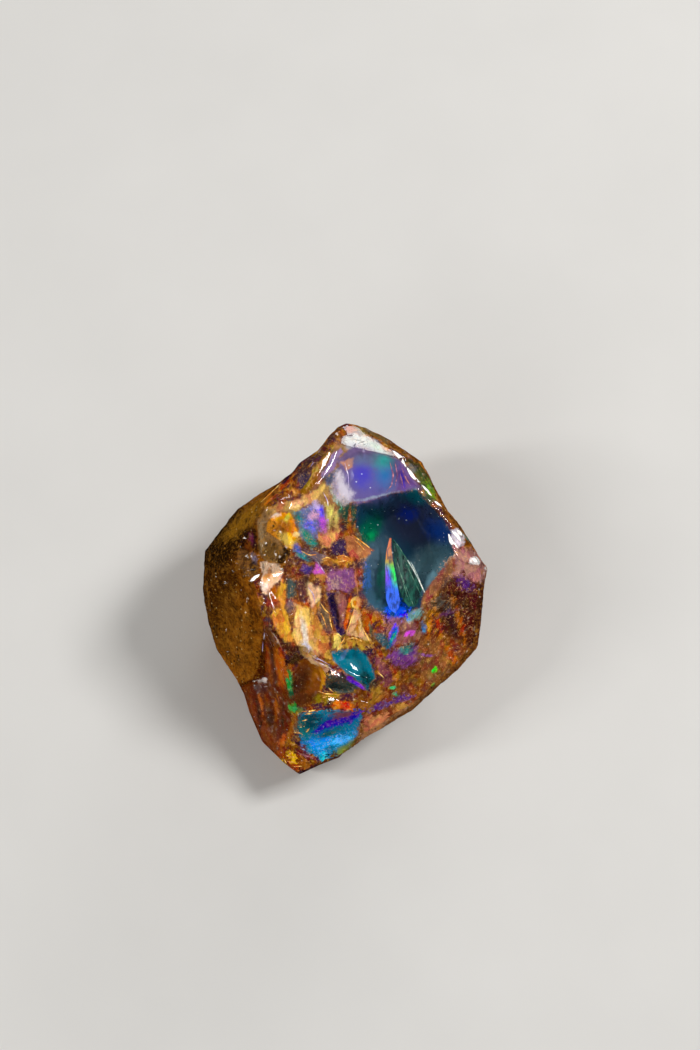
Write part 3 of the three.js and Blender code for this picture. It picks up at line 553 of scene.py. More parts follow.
    ("amber_glint", (196, 186, 180), ((-10.3, -9.9), (0.35, 0.1), 6), 0.08, 0.4, 0.9),
    ("amber_streak_right", (168, 86, 10), ((-8.1, -13.4), (0.25, 1.3), -6), 0.15, 0.6, 0.85),
    ("amber_maroon", (74, 40, 38), ((-10.0, -10.8), (0.9, 0.7), 10), 0.3, 0.5, 0.85),
    ("amber_brown", (54, 24, 6), ((-8.9, -14.2), (0.5, 1.3), 4), 0.35, 0.6, 0.85),
    ("amber_line", (36, 18, 10), ((-7.4, -14.6), (0.13, 1.8), -4), 0.1, 0.5, 0.9),
    ("amber_crack", (30, 16, 8), ((-10.0, -15.4), (0.12, 0.9), -12), 0.1, 0.5, 0.9),
    ("navy_line", (26, 20, 60), ((-6.7, -7.2), (0.14, 1.4), 12), 0.1, 0.15, 0.9),
    ("ridge_glint", (226, 218, 208), ((-7.9, -4.8), (0.1, 1.0), 34), 0.08, 0.1, 0.9),
    ("green_slit", (28, 134, 68), [(-6.5, -8.5), (-6.1, -8.6), (-6.0, -10.4), (-5.9, -11.3),
        (-6.4, -11.6), (-6.8, -10.4)], 0.2, 0.25, 0.95),
    ("green_slit_dark", (12, 66, 44), ((-6.2, -11.4), (0.35, 0.5), 0), 0.2, 0.4, 0.9),
    ("green_dots", (46, 150, 60), ((-6.2, -13.0), (0.5, 0.45), 0), 0.2, 1.0, 0.85),
    ("green_smear", (90, 110, 50), ((-5.4, -13.3), (0.6, 0.4), 0), 0.25, 0.7, 0.8),
    ("tan_strip", (166, 100, 42), [(-7.0, -15.3), (-5.6, -13.4), (-5.2, -14.5), (-6.2, -16.5),
        (-7.0, -17.9)], 0.2, 0.5, 0.95),
    ("gold_tip", (156, 66, 0), [(-7.4, -17.6), (-6.4, -18.1), (-5.0, -19.0), (-4.2, -19.8),
        (-2.0, -20.0), (-5.4, -21.8), (-7.6, -20.6), (-8.4, -18.9)], 0.2, 0.9, 0.95),
    ("tip_rust", (110, 44, 12), ((-5.6, -18.2), (1.5, 0.3), -18), 0.15, 0.9, 0.85),
    ("gold_tip_glint", (250, 204, 70), ((-6.4, -19.2), (0.6, 0.7), 30), 0.1, 1.6, 0.9),
    ("tip_streak", (190, 120, 130), ((-4.3, -18.8), (0.9, 0.14), -12), 0.1, 0.3, 0.85),

    # The blue hollow.
    ("blue_pool", (6, 104, 136), [(-5.4, -14.6), (-5.0, -13.7), (-3.4, -13.4), (-1.8, -13.2),
        (0.0, -13.3), (2.1, -13.1), (2.3, -14.2), (1.3, -16.5), (0.2, -17.8), (-1.2, -19.1),
        (-2.5, -20.1), (-3.0, -18.9), (-4.2, -18.3), (-5.0, -17.3), (-5.5, -16.1)], 0.15, 0.9, 1.0),
    ("pool_teal", (0, 108, 108), ((-4.9, -15.3), (0.9, 1.2), 0), 0.5, 0.7, 0.9),
    ("pool_black", (6, 52, 58), ((-4.2, -14.6), (1.4, 0.8), 20), 0.4, 0.9, 0.9),
    ("azure", (0, 130, 208), ((-2.6, -17.1), (1.6, 0.85), 12), 0.5, 1.0, 0.92),
    ("sky", (98, 180, 238), ((-0.3, -16.9), (1.0, 0.42), 26), 0.35, 0.9, 0.9),
    ("deep_green", (0, 70, 70), ((-1.9, -16.0), (1.2, 0.36), 24), 0.3, 0.7, 0.9),
    ("deep_violet", (58, 10, 164), [(-3.8, -15.6), (-2.2, -14.3), (-0.4, -13.6), (1.4, -13.2),
        (2.3, -13.4), (1.4, -14.4), (-0.2, -14.9), (-1.8, -15.4), (-3.2, -16.0)], 0.25, 0.7, 0.95),
    ("pool_rust", (150, 84, 76), ((0.0, -13.7), (1.2, 0.3), 8), 0.15, 0.8, 0.85),
    ("pool_point", (40, 176, 190), ((-2.3, -19.2), (0.4, 0.8), 10), 0.25, 0.6, 0.9),
    ("olive_edge", (118, 128, 42), ((0.1, -17.8), (1.6, 0.4), 36), 0.2, 0.5, 0.9),

    # Right of the middle.
    ("blue_foot", (56, 80, 200), [(4.7, 1.0), (6.4, 0.9), (7.3, -0.3), (7.5, -1.3), (6.4, -2.6),
        (5.6, -3.4), (5.1, -1.8)], 0.25, 1.6, 0.9),
    ("pink_ground", (148, 94, 92), [(5.6, -1.7), (8.0, -2.4), (9.2, -4.2), (7.6, -5.3), (5.8, -5.6),
        (4.9, -3.6)], 0.3, 1.4, 0.85),
    ("teal_gold", (92, 144, 142), ((8.4, -1.9), (1.1, 0.8), 0), 0.3, 1.1, 0.9),
    ("blue_slash", (52, 74, 206), [(4.7, -5.6), (5.3, -4.2), (6.0, -2.8), (6.5, -3.7), (6.2, -4.8),
        (5.4, -5.9)], 0.2, 0.5, 0.95),
    ("teal_slash", (20, 138, 114), ((5.8, -4.5), (0.3, 0.8), -20), 0.15, 0.4, 0.95),
    ("slate_teal", (30, 76, 84), ((4.6, -5.0), (1.2, 0.65), -40), 0.2, 0.5, 0.95),
    ("mixed_green", (38, 90, 66), ((3.3, -3.7), (0.25, 0.7), 8), 0.15, 0.6, 0.9),
    ("orange_patch", (204, 114, 60), ((3.9, -4.3), (0.45, 0.5), 0), 0.2, 0.6, 0.9),
    ("purple_mix", (102, 56, 124), [(5.0, -7.0), (6.7, -5.9), (8.8, -5.4), (8.9, -7.4), (7.7, -8.2),
        (6.0, -8.2)], 0.3, 1.3, 0.95),
    ("purple_teal", (30, 114, 104), ((7.5, -6.1), (0.9, 0.5), 30), 0.25, 0.9, 0.9),
    ("magenta_spot", (194, 84, 204), ((7.9, -4.2), (0.5, 0.3), 20), 0.15, 0.5, 0.95),
    ("teal_dash", (40, 112, 152), ((9.5, -3.5), (0.3, 0.6), 0), 0.15, 0.5, 0.9),
    ("violet_dash", (112, 62, 152), ((9.9, -6.7), (0.9, 0.1), -8), 0.08, 0.2, 0.85),
    ("red_violet", (122, 62, 84), [(3.7, -6.8), (5.4, -8.2), (6.2, -9.6), (4.8, -10.3),
        (4.1, -9.0)], 0.25, 0.9, 0.9),
    ("orange_streaks", (196, 112, 60), ((6.2, -9.2), (0.35, 1.1), 18), 0.15, 0.7, 0.85),
    ("green_spark", (40, 196, 60), ((10.9, -8.5), (0.4, 0.28), 60), 0.12, 0.3, 0.95),
    ("green_spark_low", (60, 186, 50), ((10.6, -10.4), (0.28, 0.18), 40), 0.1, 0.3, 0.95),
    ("green_spark_left", (40, 180, 110), ((5.9, -10.6), (0.35, 0.2), 0), 0.1, 0.5, 0.9),
    ("green_spark_foot", (40, 170, 100), ((6.4, -11.5), (0.3, 0.15), 0), 0.1, 0.4, 0.9),
    ("lip", (128, 76, 38), [(1.0, -17.6), (2.3, -14.1), (3.8, -13.5), (6.8, -12.5), (10.0, -10.8),
        (12.6, -9.2), (13.4, -9.6), (9.5, -13.2), (5.3, -16.1), (1.4, -18.4)], 0.2, 0.7, 0.95),
    ("lip_peach", (196, 134, 92), [(1.6, -17.6), (2.0, -15.6), (2.6, -13.9), (4.3, -13.5),
        (5.6, -13.8), (4.6, -15.4), (3.0, -16.8)], 0.2, 1.1, 0.92),
    ("lip_tan", (184, 126, 76), ((7.2, -12.9), (1.6, 0.4), 34), 0.2, 1.1, 0.85),
    ("violet_line", (48, 32, 116), [(2.6, -13.4), (3.7, -12.6), (5.2, -12.4), (6.8, -11.5),
        (8.5, -11.4), (7.0, -12.1), (5.2, -13.0), (3.8, -13.3)], 0.15, 1.4, 0.85),
    ("pink_right", (176, 120, 116), [(13.0, 6.2), (15.2, 5.8), (17.4, 3.8), (16.4, 1.8),
        (13.6, 3.0), (11.0, 2.0), (9.6, 0.1), (10.6, 2.6), (12.2, 4.8)], 0.25, 0.9, 0.95),
    ("purple_right", (66, 36, 104), ((14.1, 2.1), (1.2, 0.7), -40), 0.4, 1.2, 0.9),
    ("teal_specks", (96, 118, 108), ((11.0, -0.5), (1.3, 0.6), -15), 0.5, 1.8, 0.35),

    # The right rim.
    ("rim_olive", (70, 84, 40), [(7.2, 16.6), (9.0, 16.0), (10.0, 14.6), (11.2, 12.2), (10.5, 11.4),
        (9.6, 12.9), (8.3, 14.7)], 0.2, 0.4, 0.95),
    ("rim_green", (110, 158, 40), ((10.5, 12.9), (0.4, 1.1), 30), 0.2, 0.5, 0.95),
    ("rim_grey", (112, 106, 104), ((8.2, 15.4), (0.6, 0.45), 0), 0.2, 0.4, 0.85),
    ("rim_gold", (120, 64, 8), [(3.8, 20.2), (5.8, 19.2), (7.4, 18.1), (9.2, 17.4), (10.2, 16.2),
        (11.0, 14.4), (12.1, 12.2), (13.4, 10.2), (14.8, 8.6), (13.9, 8.1), (12.4, 9.8),
        (11.2, 12.0), (10.2, 14.1), (9.2, 15.8), (8.3, 16.6), (6.6, 17.3), (5.4, 18.1),
        (3.8, 19.1)], 0.12, 0.35, 0.97),
    ("rim_bright", (222, 136, 32), ((9.9, 15.2), (0.2, 1.4), 34), 0.1, 0.4, 0.9),
    ("rim_bright_low", (210, 130, 36), ((12.7, 10.2), (0.18, 1.8), 38), 0.1, 0.4, 0.9),
    ("rim_dark", (34, 22, 12), [(6.2, 16.9), (8.2, 16.2), (9.1, 15.6), (8.9, 15.3), (7.6, 16.0),
        (6.1, 16.6)], 0.1, 0.2, 0.9),
    # painted highlight on the glassy corner
    ("corner_highlight", (238, 228, 240), [(12.3, 8.0), (13.6, 8.5), (14.4, 7.2), (14.1, 6.1),
        (13.4, 5.9), (12.9, 7.0)], 0.1, 0.2, 0.97),
    ("corner_swirl", (70, 140, 150), ((12.4, 6.7), (0.25, 0.9), 20), 0.12, 0.5, 0.85),
    ("corner_green", (40, 140, 122), ((14.6, 7.3), (0.3, 0.9), 30), 0.15, 0.4, 0.9),
    ("corner_glint", (255, 252, 252), ((15.4, 4.4), (0.6, 0.4), -30), 0.08, 0.15, 1.0),
    ("tip_glint", (255, 250, 246), ((17.0, 3.5), (0.3, 0.22), 0), 0.08, 0.2, 0.95),
    ("top_olive", (118, 96, 56), [(0.6, 21.2), (4.1, 20.2), (5.8, 19.2), (5.2, 18.4), (3.6, 19.2),
        (1.6, 20.0)], 0.15, 0.3, 0.95),
    ("bead", (150, 64, 12), ((0.75, 20.2), (0.55, 0.5), 0), 0.12, 0.15, 0.97),

    # The milky face under the peak.
    ("milky", (90, 76, 110), MILKY_TOP, 0.3, 0.5, 0.97),
    ("milky_violet", (86, 80, 132), ((3.0, 13.7), (2.7, 2.1), 8), 1.4, 0.5, 0.95),
    ("milky_indigo", (62, 60, 158), ((2.2, 14.6), (0.9, 1.3), 0), 0.8, 0.6, 0.7),
    ("milky_blue", (46, 94, 138), ((4.8, 14.4), (1.0, 1.3), 0), 1.1, 0.4, 0.9),
    ("milky_teal", (44, 128, 120), ((4.6, 16.2), (1.1, 0.9), -12), 0.9, 0.4, 0.9),
    ("milky_slate", (86, 96, 122), ((2.2, 16.2), (1.2, 0.7), 10), 0.6, 0.4, 0.8),
    ("milky_tan", (190, 136, 106), [(-0.3, 16.1), (1.2, 16.5), (1.1, 15.2), (0.2, 15.1)], 0.15, 0.4,
        0.9),
    ("violet_stripes", (90, 64, 114), [(5.6, 17.0), (6.9, 16.1), (7.9, 14.7), (8.9, 13.2),
        (7.6, 12.6), (6.2, 12.6), (6.1, 14.6)], 0.25, 0.6, 0.95),
    ("stripe_blue", (58, 50, 150), ((6.9, 13.9), (0.2, 1.3), 12), 0.15, 0.4, 0.85),
    ("milky_edge", (128, 138, 152), ((3.4, 12.0), (2.6, 0.14), 11), 0.1, 0.15, 0.85),
    ("pale_streak", (188, 180, 188), [(-0.9, 15.2), (-0.4, 15.0), (0.3, 13.6), (1.1, 12.4),
        (0.8, 11.7), (0.1, 11.1), (-0.8, 11.6), (-1.3, 12.7), (-1.3, 14.0)], 0.4, 0.5, 0.92),
    ("pale_streak_shade", (122, 108, 140), ((-0.9, 13.3), (0.25, 1.2), 12), 0.25, 0.4, 0.7),
    # painted highlight: the glare on the crown, with greenish and grey shading in it
    ("crown_glare", (182, 184, 180), [(-0.1, 18.9), (1.2, 19.7), (2.4, 19.6), (3.3, 18.9),
        (5.0, 17.7), (4.6, 17.2), (3.2, 17.6), (1.4, 17.8), (0.2, 17.6)], 0.25, 0.6, 0.97),
    ("crown_glare_green", (150, 176, 160), ((3.9, 17.9), (1.1, 0.4), -28), 0.25, 0.6, 0.8),
    ("crown_glare_grey", (150, 146, 160), ((0.7, 18.0), (0.9, 0.4), 10), 0.25, 0.8, 0.7),

    # The window.
    ("window", (20, 46, 64), WINDOW, 0.15, 0.4, 1.0),
    ("window_navy", (36, 40, 64), ((8.4, 9.0), (3.8, 2.8), -28), 1.3, 0.7, 0.9),
    ("window_royal", (28, 48, 104), ((10.9, 7.8), (1.6, 1.2), -30), 0.8, 0.9, 0.85),
    ("window_spot", (26, 44, 140), ((7.4, 9.9), (0.9, 0.7), 0), 0.7, 0.9, 0.6),
    ("window_top", (16, 70, 78), ((8.6, 12.0), (1.4, 0.8), -10), 0.6, 0.7, 0.85),
    ("window_green", (10, 80, 58), ((2.9, 8.1), (0.9, 1.7), -25), 0.7, 0.6, 0.95),
    ("window_green_spot", (20, 136, 74), ((3.3, 7.4), (0.35, 0.5), -10), 0.3, 0.4, 0.8),
    ("window_grey", (92, 122, 132), ((10.0, 3.6), (2.6, 1.8), 40), 1.4, 0.6, 0.85),
    ("window_haze", (78, 100, 114), ((3.9, 4.4), (1.4, 2.6), 0), 1.2, 0.6, 0.85),
    ("window_foot", (58, 86, 100), ((3.8, 0.4), (1.4, 2.0), 0), 0.8, 0.8, 0.8),
    ("window_foot_green", (14, 100, 74), ((4.3, 2.4), (0.4, 1.6), -6), 0.4, 0.6, 0.7),
    ("window_sparks", (60, 96, 160), ((2.7, 2.2), (0.35, 0.9), 0), 0.1, 1.6, 0.6),
    ("window_blue_foot", (40, 82, 216), ((6.3, -1.2), (1.2, 0.7), -10), 0.3, 1.6, 0.9),
    ("window_lip", (136, 74, 56), [(12.8, 5.0), (11.8, 4.0), (10.8, 2.6), (9.8, 1.0), (9.1, -0.5),
        (9.8, -0.6), (10.8, 0.8), (12.0, 2.2), (13.4, 3.8)], 0.12, 0.8, 0.9),
    ("lip_glitter", (226, 184, 160), ((12.2, 4.4), (0.8, 0.25), 42), 0.1, 1.2, 0.85),

    # The shard that stands into the window.
    ("shard", (178, 102, 78), [(0.5, 7.3), (0.9, 7.6), (1.9, 7.0), (3.4, 5.5), (2.5, 4.9),
        (1.7, 4.2), (1.1, 4.9), (0.4, 5.8)], 0.12, 0.5, 0.97),
    ("shard_spike", (164, 94, 48), [(0.3, 8.6), (0.5, 10.0), (0.9, 10.9), (0.9, 9.2), (1.0, 7.6),
        (0.4, 7.2)], 0.12, 0.5, 0.9),
]

# ---------------------------------------------------------------- stage, in metres and watts

FLOOR_SIZE = 3.0
FLOOR_TONES = ((214, 212, 208), (222, 220, 216))
LIGHTS = [  # name, place, width and height, and power
    ("softbox_key", (0.37, 0.12, 0.46), (0.16, 0.16), 2.4),
    ("softbox_behind", (0.2, 0.5, 0.17), (0.3, 0.1), 0.8),
    ("softbox_left", (-0.45, -0.05, 0.4), (0.06, 0.3), 1.2),
    ("softbox_front", (-0.3, -0.5, 0.32), (0.35, 0.2), 0.8),
]
UNMIRRORED_LIGHT = "softbox_front"
LIT_POINT = Vector((0, 0, 0.012))
WORLD_COLOUR = (1.0, 0.98, 0.95, 1)
WORLD_STRENGTH = 0.15
LENS = 100.0
CAMERA_AT = Vector((0.72, 8.64, 348.0)) * MM
CLIP_START = 0.01


def linear(red, green, blue):
    """An sRGB colour as linear RGBA."""
    def channel(value):
        value /= 255
        return value / 12.92 if value <= 0.04045 else ((value + 0.055) / 1.055) ** 2.4
    return (channel(red), channel(green), channel(blue), 1.0)


# ---------------------------------------------------------------- meshes

def vectors(collection, field):
    """A mesh's vectors, one in each row."""
    values = np.empty(len(collection) * 3, np.float32)
    collection.foreach_get(field, values)
    return values.reshape(-1, 3).astype(float)


def points_of(mesh):
    return vectors(mesh.vertices, "co")


def normals_of(mesh):
    return vectors(mesh.vertex_normals, "vector")


def set_points(mesh, points):
    mesh.vertices.foreach_set("co", points.astype(np.float32).ravel())
    mesh.update()


def to_stone(points):
    """Row-frame metres to the stone's own frame, in millimetres."""
    inverse = np.array(STONE_TO_ROW.inverted())
    return (points @ inverse[:3, :3].T + inverse[:3, 3]) / MM


def to_row(points):
    """The stone's own frame, in millimetres, to row-frame metres."""
    matrix = np.array(STONE_TO_ROW)
    return (np.asarray(points) * MM) @ matrix[:3, :3].T + matrix[:3, 3]


def piece(name, mesh, material):
    """A piece of the stone, with its look."""
    made = bpy.data.objects.new(name, mesh)
    bpy.context.scene.collection.objects.link(made)
    mesh.shade_smooth()
    mesh.materials.append(material)
    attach(made, "root")
    return made


def swollen(node, distance):
    """A CAD node's form as one joined surface, moved outwards."""
    form = bmesh.new()
    form.from_mesh(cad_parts[node].data)
    bmesh.ops.remove_doubles(form, verts=form.verts, dist=0.001 * MM)
    form.normal_update()
    for vertex in form.verts:
        vertex.co += vertex.normal * distance
    return form


def even_mesh(forms, voxel):
    """Closed forms as one mesh of small even faces."""
    joined = bpy.data.meshes.new("joined")
    whole = bmesh.new()
    for form in forms:
        part = bpy.data.meshes.new("part")
        form.to_mesh(part)
        form.free()
        whole.from_mesh(part)
        bpy.data.meshes.remove(part)
    whole.to_mesh(joined)
    whole.free()
    joined.materials.clear()
    copy = bpy.data.objects.new("copy", joined)
    bpy.context.scene.collection.objects.link(copy)
    remesh = copy.modifiers.new("even", "REMESH")
    remesh.mode = "VOXEL"
    remesh.voxel_size = voxel
    graph = bpy.context.evaluated_depsgraph_get()
    mesh = bpy.data.meshes.new_from_object(copy.evaluated_get(graph))
    bpy.data.objects.remove(copy)
    return mesh


def relax(mesh, rounds):
    """Rounds off the sharpest creases."""
    points = points_of(mesh)
    edges = np.empty(len(mesh.edges) * 2, np.int32)
    mesh.edges.foreach_get("vertices", edges)
    a, b = edges.reshape(-1, 2).T
    count = np.bincount(a, minlength=len(points)) + np.bincount(b, minlength=len(points))
    for _ in range(rounds):
        total = np.zeros_like(points)
        for axis in range(3):
            total[:, axis] += np.bincount(a, points[b, axis], len(points))
            total[:, axis] += np.bincount(b, points[a, axis], len(points))
        points = (points + total / count[:, None]) / 2
    set_points(mesh, points)


def slab(name, top, bottom, faces):
    """A closed mesh between two copies of a sheet that have the same faces."""
    count = len(top)
    lower = [tuple(i + count for i in reversed(face)) for face in faces]
    sides = {(a, b) for face in faces for a, b in zip(face, face[1:] + face[:1])}
    walls = [(b, a, a + count, b + count) for a, b in sides if (b, a) not in sides]
    mesh = bpy.data.meshes.new(name)
    mesh.from_pydata(np.concatenate((top, bottom)).tolist(), [], faces + lower + walls)
    mesh.validate()
    return mesh


def tree_of(mesh):
    """A mesh as a tree, to look up the nearest place on it."""
    faces = [tuple(p.vertices) for p in mesh.polygons]
    return BVHTree.FromPolygons([tuple(v.co) for v in mesh.vertices], faces)


# ---------------------------------------------------------------- noise and shapes in numpy

def shifted(seed):
    """Where in the noise this seed looks."""
    return Vector((seed * 7.1, seed * 3.7, seed * 5.3))


def uneven(points, size, octaves, seed):
    """Smooth noise of 0 to 1, with bumps of about this size."""
    shift = shifted(seed)
    values = [noise.fractal(Vector(p) / size + shift, 1.0, 2.0, octaves) for p in points]
    return np.clip(0.5 + 0.5 * np.array(values), 0, 1)


def warped(points, size, amount, seed):
    """Points moved about smoothly by up to this amount."""
    shift = shifted(seed)
    moves = [noise.turbulence_vector(Vector(p) / size + shift, 3, False) for p in points]
    return points + amount * np.array(moves)


def shards(points, size, seed):
    """A random value of 0 to 1 for each angular fragment."""
    shift = shifted(seed)
    values = np.empty(len(points))
    for i, point in enumerate(points):
        cell = noise.voronoi(Vector(point) / size + shift)[1][0]
        values[i] = noise.cell(cell * 37.0)
    return values


def turned(points):
    """The direction of the fibres, as twice its angle, so that both ways along one are the same."""
    double = np.zeros(len(points), complex)
    for (x, y), degrees in FIBRES:
        weight = 1 / (0.3 + np.hypot(points[:, 0] - x, points[:, 1] - y) ** 3)
        double += weight * np.exp(2j * math.radians(degrees))
    return np.angle(double)


def fibres(points, size, length, seed):
    """Noise of 0 to 1 that is drawn out along the fibres."""
    angle = turned(points) / 2
    along = np.stack((np.cos(angle), np.sin(angle), np.zeros(len(points))), 1)
    total = np.zeros(len(points))
    shift = shifted(seed)
    for step in np.arange(-length / 2, length / 2, size / 2):
        total += [noise.noise(Vector(p) / size + shift) for p in points + along * step]
    return np.clip(0.5 + 0.22 * total / total.std(), 0, 1)


def smoothstep(low, high, values):
    """0 at low and 1 at high, smooth between."""
    t = np.clip((values - low) / (high - low), 0, 1)
    return t * t * (3 - 2 * t)


def inside_ellipse(points, at, size, turn):
    """About how far inside an ellipse points are, in millimetres, negative outside."""
    angle = math.radians(turn)
    x = points[:, 0] - at[0]
    y = points[:, 1] - at[1]
    along = (x * math.cos(angle) + y * math.sin(angle)) / size[0]
    across = (y * math.cos(angle) - x * math.sin(angle)) / size[1]
    return (1 - np.hypot(along, across)) * min(size)


def inside_outline(points, outline):
    """How far inside a closed line points are, in millimetres, negative outside."""
    nearest = np.full(len(points), np.inf)
    within = np.zeros(len(points), bool)
    for (ax, ay), (bx, by) in zip(outline, outline[1:] + outline[:1]):
        x, y = points[:, 0] - ax, points[:, 1] - ay
        ex, ey = bx - ax, by - ay
        t = np.clip((x * ex + y * ey) / (ex * ex + ey * ey), 0, 1)
        nearest = np.minimum(nearest, np.hypot(x - t * ex, y - t * ey))
        if ey:
            crosses = (ay > points[:, 1]) != (by > points[:, 1])
            within ^= crosses & (x < y / ey * ex)
    return np.where(within, nearest, -nearest)


def inside(points, shape):
    """How far inside an outline or an ellipse points are."""
    if isinstance(shape, list):
        return inside_outline(points, shape)
    return inside_ellipse(points, *shape)


# ---------------------------------------------------------------- the stone's forms

class Skin:
    """The whole stone's surface, and the same surface sunk where clear opal lies over it.

    edge is how far inside the opal's rim a vertex is, in millimetres, negative on the rock.
    """

    def __init__(self):
        self.mesh = even_mesh([swollen("host_rock", FUSE), swollen("opal", FUSE)], VOXEL)
        relax(self.mesh, RELAX_ROUNDS)
        self.normals = normals_of(self.mesh)
        self.top = points_of(self.mesh) - self.normals * FUSE
        self.place = to_stone(self.top)
        self.edge = self.inside_opal()
        self.calm = np.max([
            amount * smoothstep(*CALM_STARTS, inside(self.place, shape)) for shape, amount in CALM
        ], 0)
        self.fibres = np.full(len(self.place), 0.5)
        near = self.edge > -FIBRE_MARGIN
        self.fibres[near] = fibres(self.place[near], FIBRE_SIZE, FIBRE_LENGTH, seed=9)
        self.sunk = self.top - self.grain() - self.bed()
        self.sunk[:, 2] = np.maximum(self.sunk[:, 2], 0)

    def inside_opal(self):
        """How far each vertex is inside the opal's rim."""
        rock = tree_of(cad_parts["host_rock"].data)
        opal = tree_of(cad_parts["opal"].data)
        edge = []
        for point in self.top:
            to_rock = rock.find_nearest(Vector(point))[3]
            to_opal = opal.find_nearest(Vector(point))[3]
            edge.append((to_rock - to_opal) / MM)
        return np.array(edge)

    def grain(self):
        """How far the sandstone's lumps and grain sink the surface."""
        depth = sum(
            height * uneven(self.place, size, octaves=3, seed=seed)
            for height, size, seed in SANDSTONE
        )
        depth *= smoothstep(*ROCK_STARTS, self.edge) * smoothstep(0.0, REST_BAND, self.top[:, 2])
        return self.normals * depth[:, None] * MM

    def bed(self):
        """How far the bed lies below the clear opal: fibres, angular flakes and deep wells."""
        flakes = shards(self.place * FLAKE_STRETCH, FLAKE_SIZE, seed=6)
        ragged = FLAKE_SHARE * flakes + (1 - FLAKE_SHARE) * self.fibres
        feather = smoothstep(*BED_STARTS, self.edge)
        depth = (BED_DEPTH + BED_RAGGED * ragged * (1 - self.calm)) * feather
        well = np.zeros(len(self.place))
        for shape, slope, deep in WELLS:
            rim = inside(self.place, shape) + WELL_RAGGED * (ragged - 0.5)
            well = np.maximum(well, deep * smoothstep(-0.1, slope, rim))
        return (self.normals * depth[:, None] + OUT * (well * feather)[:, None]) * MM

    def on_bed(self, line, lift):
        """Places on the front, as points this far above the bed, in the stone's own frame."""
        bed = to_stone(self.sunk)
        turned_away = self.normals @ OUT <= FACES_FRONT
        points = []
        for x, y in line:
            distance = np.hypot(bed[:, 0] - x, bed[:, 1] - y) + FAR * turned_away
            points.append((x, y, bed[np.argmin(distance), 2] + lift))
        return points


class Layer:
    """Zones that are clear of one another, so that they share one layer of colour."""

    def __init__(self, count):
        self.depth = np.full(count, -FAR)  # how far inside the nearest of its zones
        self.number = np.zeros(count, int)  # that zone's number
        self.near = np.zeros(count, bool)
        self.core = np.zeros(count, bool)

    def lay(self, number, depth, near, core):
        """Adds a zone: near is where its edge can reach, core is what it surely covers."""
        nearer = depth > self.depth
        self.depth[nearer] = depth[nearer]
        self.number[nearer] = number
        self.near |= near
        self.core |= core


def laid(place, sides, front):
    """The zones in few layers: each lies above those that it covers, beside those clear of it.

    The rock's own zones go as far round the stone as sides says, the rest as front says.
    """
    layers = []
    for number, (_, _, shape, soft, ragged, _) in enumerate(ZONES):
        depth = np.minimum(inside(place, shape), sides if number < ROCK_ZONES else front)
        near = depth > -(soft + NEAR_RAGGED * ragged + VOXEL / MM / 2)
        core = depth > min(LEAST_OVERLAP, depth.max() / 2)
        covered = [i for i, layer in enumerate(layers) if (layer.core & core).any()]
        at = covered[-1] + 1 if covered else 0
        while at < len(layers) and (layers[at].near & near).any():
            at += 1
        if at == len(layers):
            layers.append(Layer(len(place)))
        layers[at].lay(number, depth, near, core)
    return layers


def add_values(mesh, name, values, kind="FLOAT", field="value"):
    """Puts values on the mesh, one for each vertex, for its material to read."""
    layer = mesh.attributes.new(name, kind, "POINT")
    layer.data.foreach_set(field, values.astype(np.float32).ravel())


def add_zones(mesh, skin):
    """Puts each layer's colour on the mesh, and its depth and raggedness over its softness."""
    colours = np.array([(*linear(*tone)[:3], share) for _, tone, _, _, _, share in ZONES])
    soft = np.array([zone[3] for zone in ZONES])
    ragged = np.array([zone[4] for zone in ZONES])
    place = warped(skin.place, WARP_SIZE, WARP_AMOUNT, seed=7)
    facing = STEEP_FADE * (skin.normals @ OUT)
    amber = inside(place, AMBER_FACE) > -AMBER_MARGIN
    front = facing + np.where(amber, SIDE_REACH, FRONT_REACH)
    layers = laid(place, facing + SIDE_REACH, front)
    for count, layer in enumerate(layers):
        edge = np.stack((layer.depth, ragged[layer.number], np.zeros(len(place))), 1)
        edge /= soft[layer.number][:, None]
        add_values(mesh, f"tone_{count}", colours[layer.number], "FLOAT_COLOR", "color")
        add_values(mesh, f"edge_{count}", edge, "FLOAT_VECTOR", "vector")
    return len(layers)


def make_stone(skin):
    """The rock, with the coloured bed that shows through the opal."""
    mesh = skin.mesh.copy()
    set_points(mesh, skin.sunk)
    double = turned(skin.place)
    for name, values in {
        "edge": skin.edge, "calm": skin.calm, "fibres": skin.fibres,
        "turn_cos": np.cos(double), "turn_sin": np.sin(double),
    }.items():
        add_values(mesh, name, values)
    layers = add_zones(mesh, skin)
    stone = piece("stone_skin", mesh, stone_material(layers))
    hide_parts("host_rock")


def make_opal(skin):
    """The clear opal: a closed slab from the stone's surface down to just under the bed."""
    rim = smoothstep(*GLASS_STARTS, skin.edge)[:, None]
    buried = skin.sunk - skin.normals * GLASS_EDGE * MM
    top = skin.top * (1 - rim) + buried * rim
    bottom = skin.sunk - skin.normals * (GLASS_EDGE + GLASS_UNDER_BED) * MM

    faces = [tuple(p.vertices) for p in skin.mesh.polygons]
    faces = [face for face in faces if min(skin.edge[list(face)]) > -GLASS_MARGIN]
    used = sorted({v for face in faces for v in face})
    number = {v: i for i, v in enumerate(used)}
    faces = [tuple(number[v] for v in face) for face in faces]
    mesh = slab("opal_body", top[used], bottom[used], faces)
    opal = piece("opal_body", mesh, opal_material())
    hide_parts("opal")
    opal.visible_shadow = False


def sliver(name, points, faces, material):
    """A thin closed sheet in the opal, from points on its outer side, in the stone's own frame."""
    top = to_row(points)
    made = piece(name, slab(name, top, top - OUT * SLIVER_DEPTH * MM, faces), material)
    made.data.shade_flat()


def ribbon(count, start=0):
    """The faces between two lines of count points, of which the first point is number start."""
    return [(i, i + 1, count + i + 1, count + i) for i in range(start, start + count - 1)]


